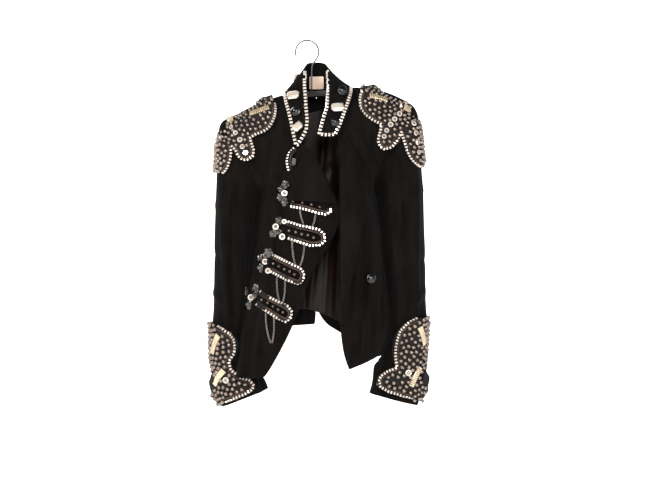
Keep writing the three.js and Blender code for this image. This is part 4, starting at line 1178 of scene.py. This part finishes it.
@dataclass
class Loop:
    """A frogging loop: the route of its row of stones, and its inner beads, in millimetres."""

    node: str
    route: tuple[Point, ...]
    beads: tuple[Point, ...] = ()

    def inwards(self) -> list[Vector]:
        """The directions from the stones' row towards the middle of the loop, at each point."""
        if self.node == "frog_1":  # the lapel hides its upper half, so it is no closed loop
            return [Vector((0, 0, 1)) if k > 1 else Vector((-1, 0, 0)) for k in range(len(self.route))]
        return inward_directions(self.route, middle_of(self.route))


LOOPS = (
    Loop("frog_0", ((-24, -222), (-33, -232), (-36, -244), (-35, -254), (-33, -262))),
    Loop("frog_1", ((45, -340), (45, -346), (37, -348), (22, -345), (6, -340), (-14, -335), (-30, -332)),
         ((-26, -324), (-8, -327), (10, -331), (26, -336))),
    Loop("frog_2", ((-36, -367), (-14, -374), (10, -379), (25, -383), (33, -391), (34, -401), (26, -408),
                    (8, -409), (-13, -402), (-34, -395)),
         ((-34, -382), (-21, -385), (-9, -389), (3, -391), (14, -396))),
    Loop("frog_3", ((-67, -432), (-48, -441), (-30, -450), (-14, -457), (-7, -466), (-8, -476), (-15, -484),
                    (-33, -478), (-54, -468), (-73, -458)),
         ((-66, -447), (-54, -452), (-43, -458), (-33, -462), (-23, -468))),
    Loop("frog_4", ((-92, -504), (-74, -515), (-55, -524), (-38, -532), (-31, -541), (-32, -550), (-40, -558),
                    (-58, -550), (-80, -536), (-98, -526)),
         ((-88, -518), (-77, -524), (-66, -531), (-55, -537), (-46, -542))),
)


@dataclass
class Rosette:
    """A cluster of sequin flowers and round stones at the end of a loop, in millimetres."""

    node: str
    gems: tuple[tuple[float, float, float], ...]
    flowers: tuple[tuple[float, float, float], ...]


ROSETTES = (
    Rosette("rosette_1", ((-44, -308, 5.6),),
            ((-42, -291, 8), (-50, -299, 7), (-52, -316, 7), (-42, -325, 9))),
    Rosette("rosette_2", ((-61, -374, 5.6), (-48, -394, 5.6), (-44, -364, 4.4)),
            ((-54, -362, 8), (-66, -387, 8), (-56, -384, 7))),
    Rosette("rosette_3", ((-82, -443, 5.4), (-76, -461, 5.0)),
            ((-75, -425, 9), (-91, -436, 7), (-89, -455, 9), (-80, -432, 6))),
    Rosette("rosette_4", ((-111, -514, 5.8),),
            ((-98, -496, 10), (-120, -502, 8), (-113, -529, 9), (-101, -509, 7))),
)


@dataclass
class Frogging:
    """The frogging of the right front: braid, stones, beads, rosettes and chains."""

    hang: Mover
    stone_pitch_mm: float = 6.4
    cord_pitch_mm: float = 2.2
    link_pitch_mm: float = 3.4
    link_size: Vector = field(default_factory=lambda: Vector((2.1, 1.5, 1.6)) * MM)
    stone_size: Vector = field(default_factory=lambda: Vector((2.6, 3.7, 3.1)) * MM)
    knot_size: Vector = field(default_factory=lambda: Vector((1.7, 1.4, 1.4)) * MM)
    bead_size: Vector = field(default_factory=lambda: Vector((2.7, 2.7, 2.7)) * MM)
    front_y_mm: float = -84.0  # where a rosette's piece sits if it reaches past the front's edge

    def build(self, front: bpy.types.Object) -> None:
        """Makes the frogging."""
        carrier = Surfaces([front])
        for loop in LOOPS:
            self.loop(loop, front)
        for plan in ROSETTES:
            self.rosette(plan, carrier)
        self.neck_stone(carrier)
        self.chains()

    def loop(self, loop: Loop, front: bpy.types.Object) -> None:
        """A felt braid with stones on its outer edge and a bronze cord on its inner edge."""
        braid = fine_piece(loop.node + "_felt", loop.node, FELT, 2, self.hang)
        top = Surfaces([braid, front])
        stones, cord, beads = Heap(), Heap(), Heap()
        inwards = loop.inwards()
        for inset, pitch, heap in ((-2.4, self.stone_pitch_mm, stones), (3.6, self.cord_pitch_mm, cord)):
            for spot, along in even_steps(shifted_route(loop.route, inwards, inset, top), pitch * MM):
                if heap is stones:
                    heap.add(TRILLION_FORM, spot, FRONT + Vector((0, 0, 0.1)), along, self.stone_size)
                else:
                    heap.add(KNOT_FORM, spot, FRONT, along, self.knot_size)
        for x, z in loop.beads:
            hit = top.face_on(x, z)
            if hit:
                beads.add(PEARL_FORM, hit[0] + hit[1] * 0.8 * MM, hit[1], Vector((1, 0, 0)), self.bead_size)
        stones.place(loop.node + "_stones", CRYSTAL, "crystal", smooth=False)
        cord.place(loop.node + "_cord", LUREX, "bronze_bead")
        if loop.beads:
            beads.place(loop.node + "_beads", PEARL, "bronze_bead")

    def rosette(self, plan: Rosette, carrier: Surfaces) -> None:
        """Flowers of cupped sequins in two layers, with ringed round stones among them."""
        petals, stones, rims = Heap(), Heap(), Heap()
        for x, z, reach in plan.flowers:
            hit = carrier.face_on(x, z)
            seat = hit[0] if hit else Vector((x, self.front_y_mm, z)) * MM
            start = RNG.uniform(0, 1)
            for layer, (count, share, size) in enumerate(((5, 0.55, 0.56), (4, 0.22, 0.4))):
                for k in range(count):
                    angle = 2 * math.pi * (k + start + 0.4 * layer) / count
                    out = Vector((math.cos(angle), 0, math.sin(angle)))
                    spot = seat + out * reach * share * MM + FRONT * (2.2 + 1.7 * layer) * MM
                    lean = FRONT + out * RNG.uniform(0.2, 0.7)
                    petals.add(CUP_FORM, spot, lean, out, Vector((size, size * 0.85, 0.36)) * reach * MM)
        for x, z, radius in plan.gems:
            hit = carrier.face_on(x, z)
            seat = (hit[0] if hit else Vector((x, self.front_y_mm, z)) * MM) + FRONT * 3.0 * MM
            lean, along = FRONT + Vector((0, 0, 0.15)), Vector((1, 0, 0))
            stones.add(CHATON_FORM, seat + FRONT * 0.6 * MM, lean, along,
                       Vector((1, 1, 0.8)) * radius * 0.78 * MM)
            # A ring round the stone paints its bright edge: a painted highlight.
            rims.add(ROSETTE_RIM, seat + FRONT * 0.7 * MM, lean, along,
                     Vector((1, 1, 1)) * radius * 0.95 * MM)
        petals.place(plan.node + "_sequins", SEQUIN, "sequin", [plan.node])
        # The round stones' middles are coloured dark as a painted reflection.
        stones.place(plan.node + "_stones", PAINTED_DARK_GLASS, "crystal", smooth=False)
        rims.place(plan.node + "_rims", CRYSTAL, "crystal", smooth=False)

    @staticmethod
    def neck_stone(carrier: Surfaces) -> None:
        """The oblong stone inside the small loop below the collar's tip."""
        hit = carrier.face_on(-25, -246)
        if hit:
            heap = Heap()
            heap.add(SHALLOW_CUT, hit[0] + FRONT * MM, FRONT, Vector((0.15, 0, 1)),
                     Vector((8.5, 8.5, 5.5)) * MM)
            heap.place("neck_loop_stone", JET, "crystal", smooth=False)

    def chains(self) -> None:
        """Curb chains: links that alternate flat and on edge, along each chain's solid."""
        for number in range(1, 9):
            node = f"chain_{number}"
            route = [spot + self.hang(spot) for spot in self.middle_line(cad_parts[node].data)]
            heap = Heap()
            for k, (spot, along) in enumerate(even_steps(route, self.link_pitch_mm * MM)):
                face = FRONT if k % 2 else FRONT + along.cross(FRONT) * 1.2
                heap.add(LINK_FORM, spot, face, along, self.link_size)
            heap.place(node + "_links", CHAIN, "chain_metal", [node])

    @staticmethod
    def middle_line(mesh: bpy.types.Mesh, parts: int = 9) -> list[Vector]:
        """The middle line of an upright tube, from its points, level by level."""
        points = sorted((v.co.copy() for v in mesh.vertices), key=lambda p: -p.z)
        size = max(1, len(points) // parts)
        groups = [points[k:k + size] for k in range(0, len(points), size)]
        return [sum(group, Vector()) / len(group) for group in groups if len(group) > 3]


@dataclass
class Studio:
    """A plain pale floor and backdrop, soft light and the camera."""

    floor_z: float = -1.0
    centre: Vector = field(default_factory=lambda: Vector((0.056, 0.0, -0.42)))
    distance: float = 3.4
    garment_depth: float = -0.015
    view_width: float = 1.34
    sensor_mm: float = 36.0
    paper_glow: float = 0.95
    room_light: float = 0.1
    aim: Vector = field(default_factory=lambda: Vector((0.02, 0, -0.4)))
    # Each lamp's name, place, power in watts and size.
    lamps: tuple[tuple[str, tuple[float, float, float], float, float], ...] = (
        ("key", (-1.6, -1.5, 1.2), 90, 0.6), ("fill", (2.1, -1.6, 0.2), 26, 0.8),
        ("spark", (0.25, -2.8, 0.35), 90, 0.6))
    half_wide: float = 6.0
    paper_end: float = 2.2
    sweep: float = 1.2

    def camera(self) -> None:
        """Sets the camera at the photo's angle: level, square to the front."""
        data = bpy.data.cameras.new("camera")
        data.sensor_width = self.sensor_mm
        data.lens = self.sensor_mm * self.distance / self.view_width
        eye = bpy.data.objects.new("camera", data)
        eye.location = (self.centre.x, self.garment_depth - self.distance, self.centre.z)
        eye.rotation_euler = (math.pi / 2, 0, 0)
        bpy.context.scene.collection.objects.link(eye)
        bpy.context.scene.camera = eye

    def room(self) -> None:
        """A floor that sweeps up into a backdrop."""
        steps = [(-self.half_wide, 0.0), (self.paper_end, 0.0)]
        for k in range(1, 9):
            turn = k * math.pi / 16
            steps.append((self.paper_end + self.sweep * math.sin(turn), self.sweep * (1 - math.cos(turn))))
        steps.append((self.paper_end + self.sweep, self.half_wide))
        points = [(x, y, self.floor_z + z) for y, z in steps for x in (-self.half_wide, self.half_wide)]
        faces = [(2 * k, 2 * k + 1, 2 * k + 3, 2 * k + 2) for k in range(len(steps) - 1)]
        mesh = bpy.data.meshes.new("floor")
        mesh.from_pydata(points, [], faces)
        floor = bpy.data.objects.new("floor", mesh)
        bpy.context.scene.collection.objects.link(floor)
        material = bpy.data.materials.new("pale_paper")
        material.use_nodes = True
        shader = material.node_tree.nodes["Principled BSDF"]
        shader.inputs["Base Color"].default_value = linear("FBFBFA")
        shader.inputs["Roughness"].default_value = 0.9
        shader.inputs["Emission Color"].default_value = (1.0, 1.0, 1.0, 1.0)
        shader.inputs["Emission Strength"].default_value = self.paper_glow
        mesh.materials.append(material)
        mesh.polygons.foreach_set("use_smooth", [True] * len(mesh.polygons))

    def lights(self) -> None:
        """A pale room, with a soft key from above and in front, a fill, and a lamp that sparks the stones."""
        world = bpy.data.worlds.new("studio")
        world.use_nodes = True
        world.node_tree.nodes["Background"].inputs["Color"].default_value = (1.0, 1.0, 1.0, 1.0)
        world.node_tree.nodes["Background"].inputs["Strength"].default_value = self.room_light
        bpy.context.scene.world = world
        for name, place, power, size in self.lamps:
            data = bpy.data.lights.new(name, "AREA")
            data.energy = power
            data.size = size
            lamp = bpy.data.objects.new(name, data)
            lamp.location = place
            aim = self.aim - Vector(place)
            lamp.rotation_euler = aim.to_track_quat("-Z", "Y").to_euler()
            bpy.context.scene.collection.objects.link(lamp)

    def build(self) -> None:
        """Makes the studio."""
        self.camera()
        self.room()
        self.lights()
        bpy.context.scene.view_settings.view_transform = "Standard"


def main() -> None:
    """Builds the jacket, piece by piece, round the frame."""
    logging.basicConfig(level=logging.INFO, format="%(name)s: %(message)s")
    Studio().build()
    wool = Body().build()
    Sleeves().build()
    Seams().build()
    Inside(folded_front(Body.back)).build()
    Beadwork().build()
    CollarTrim().build(wool["collar"])
    Frogging(folded_front(Body.right_front)).build(wool["front_right"])


if __name__ == "__main__":
    main()
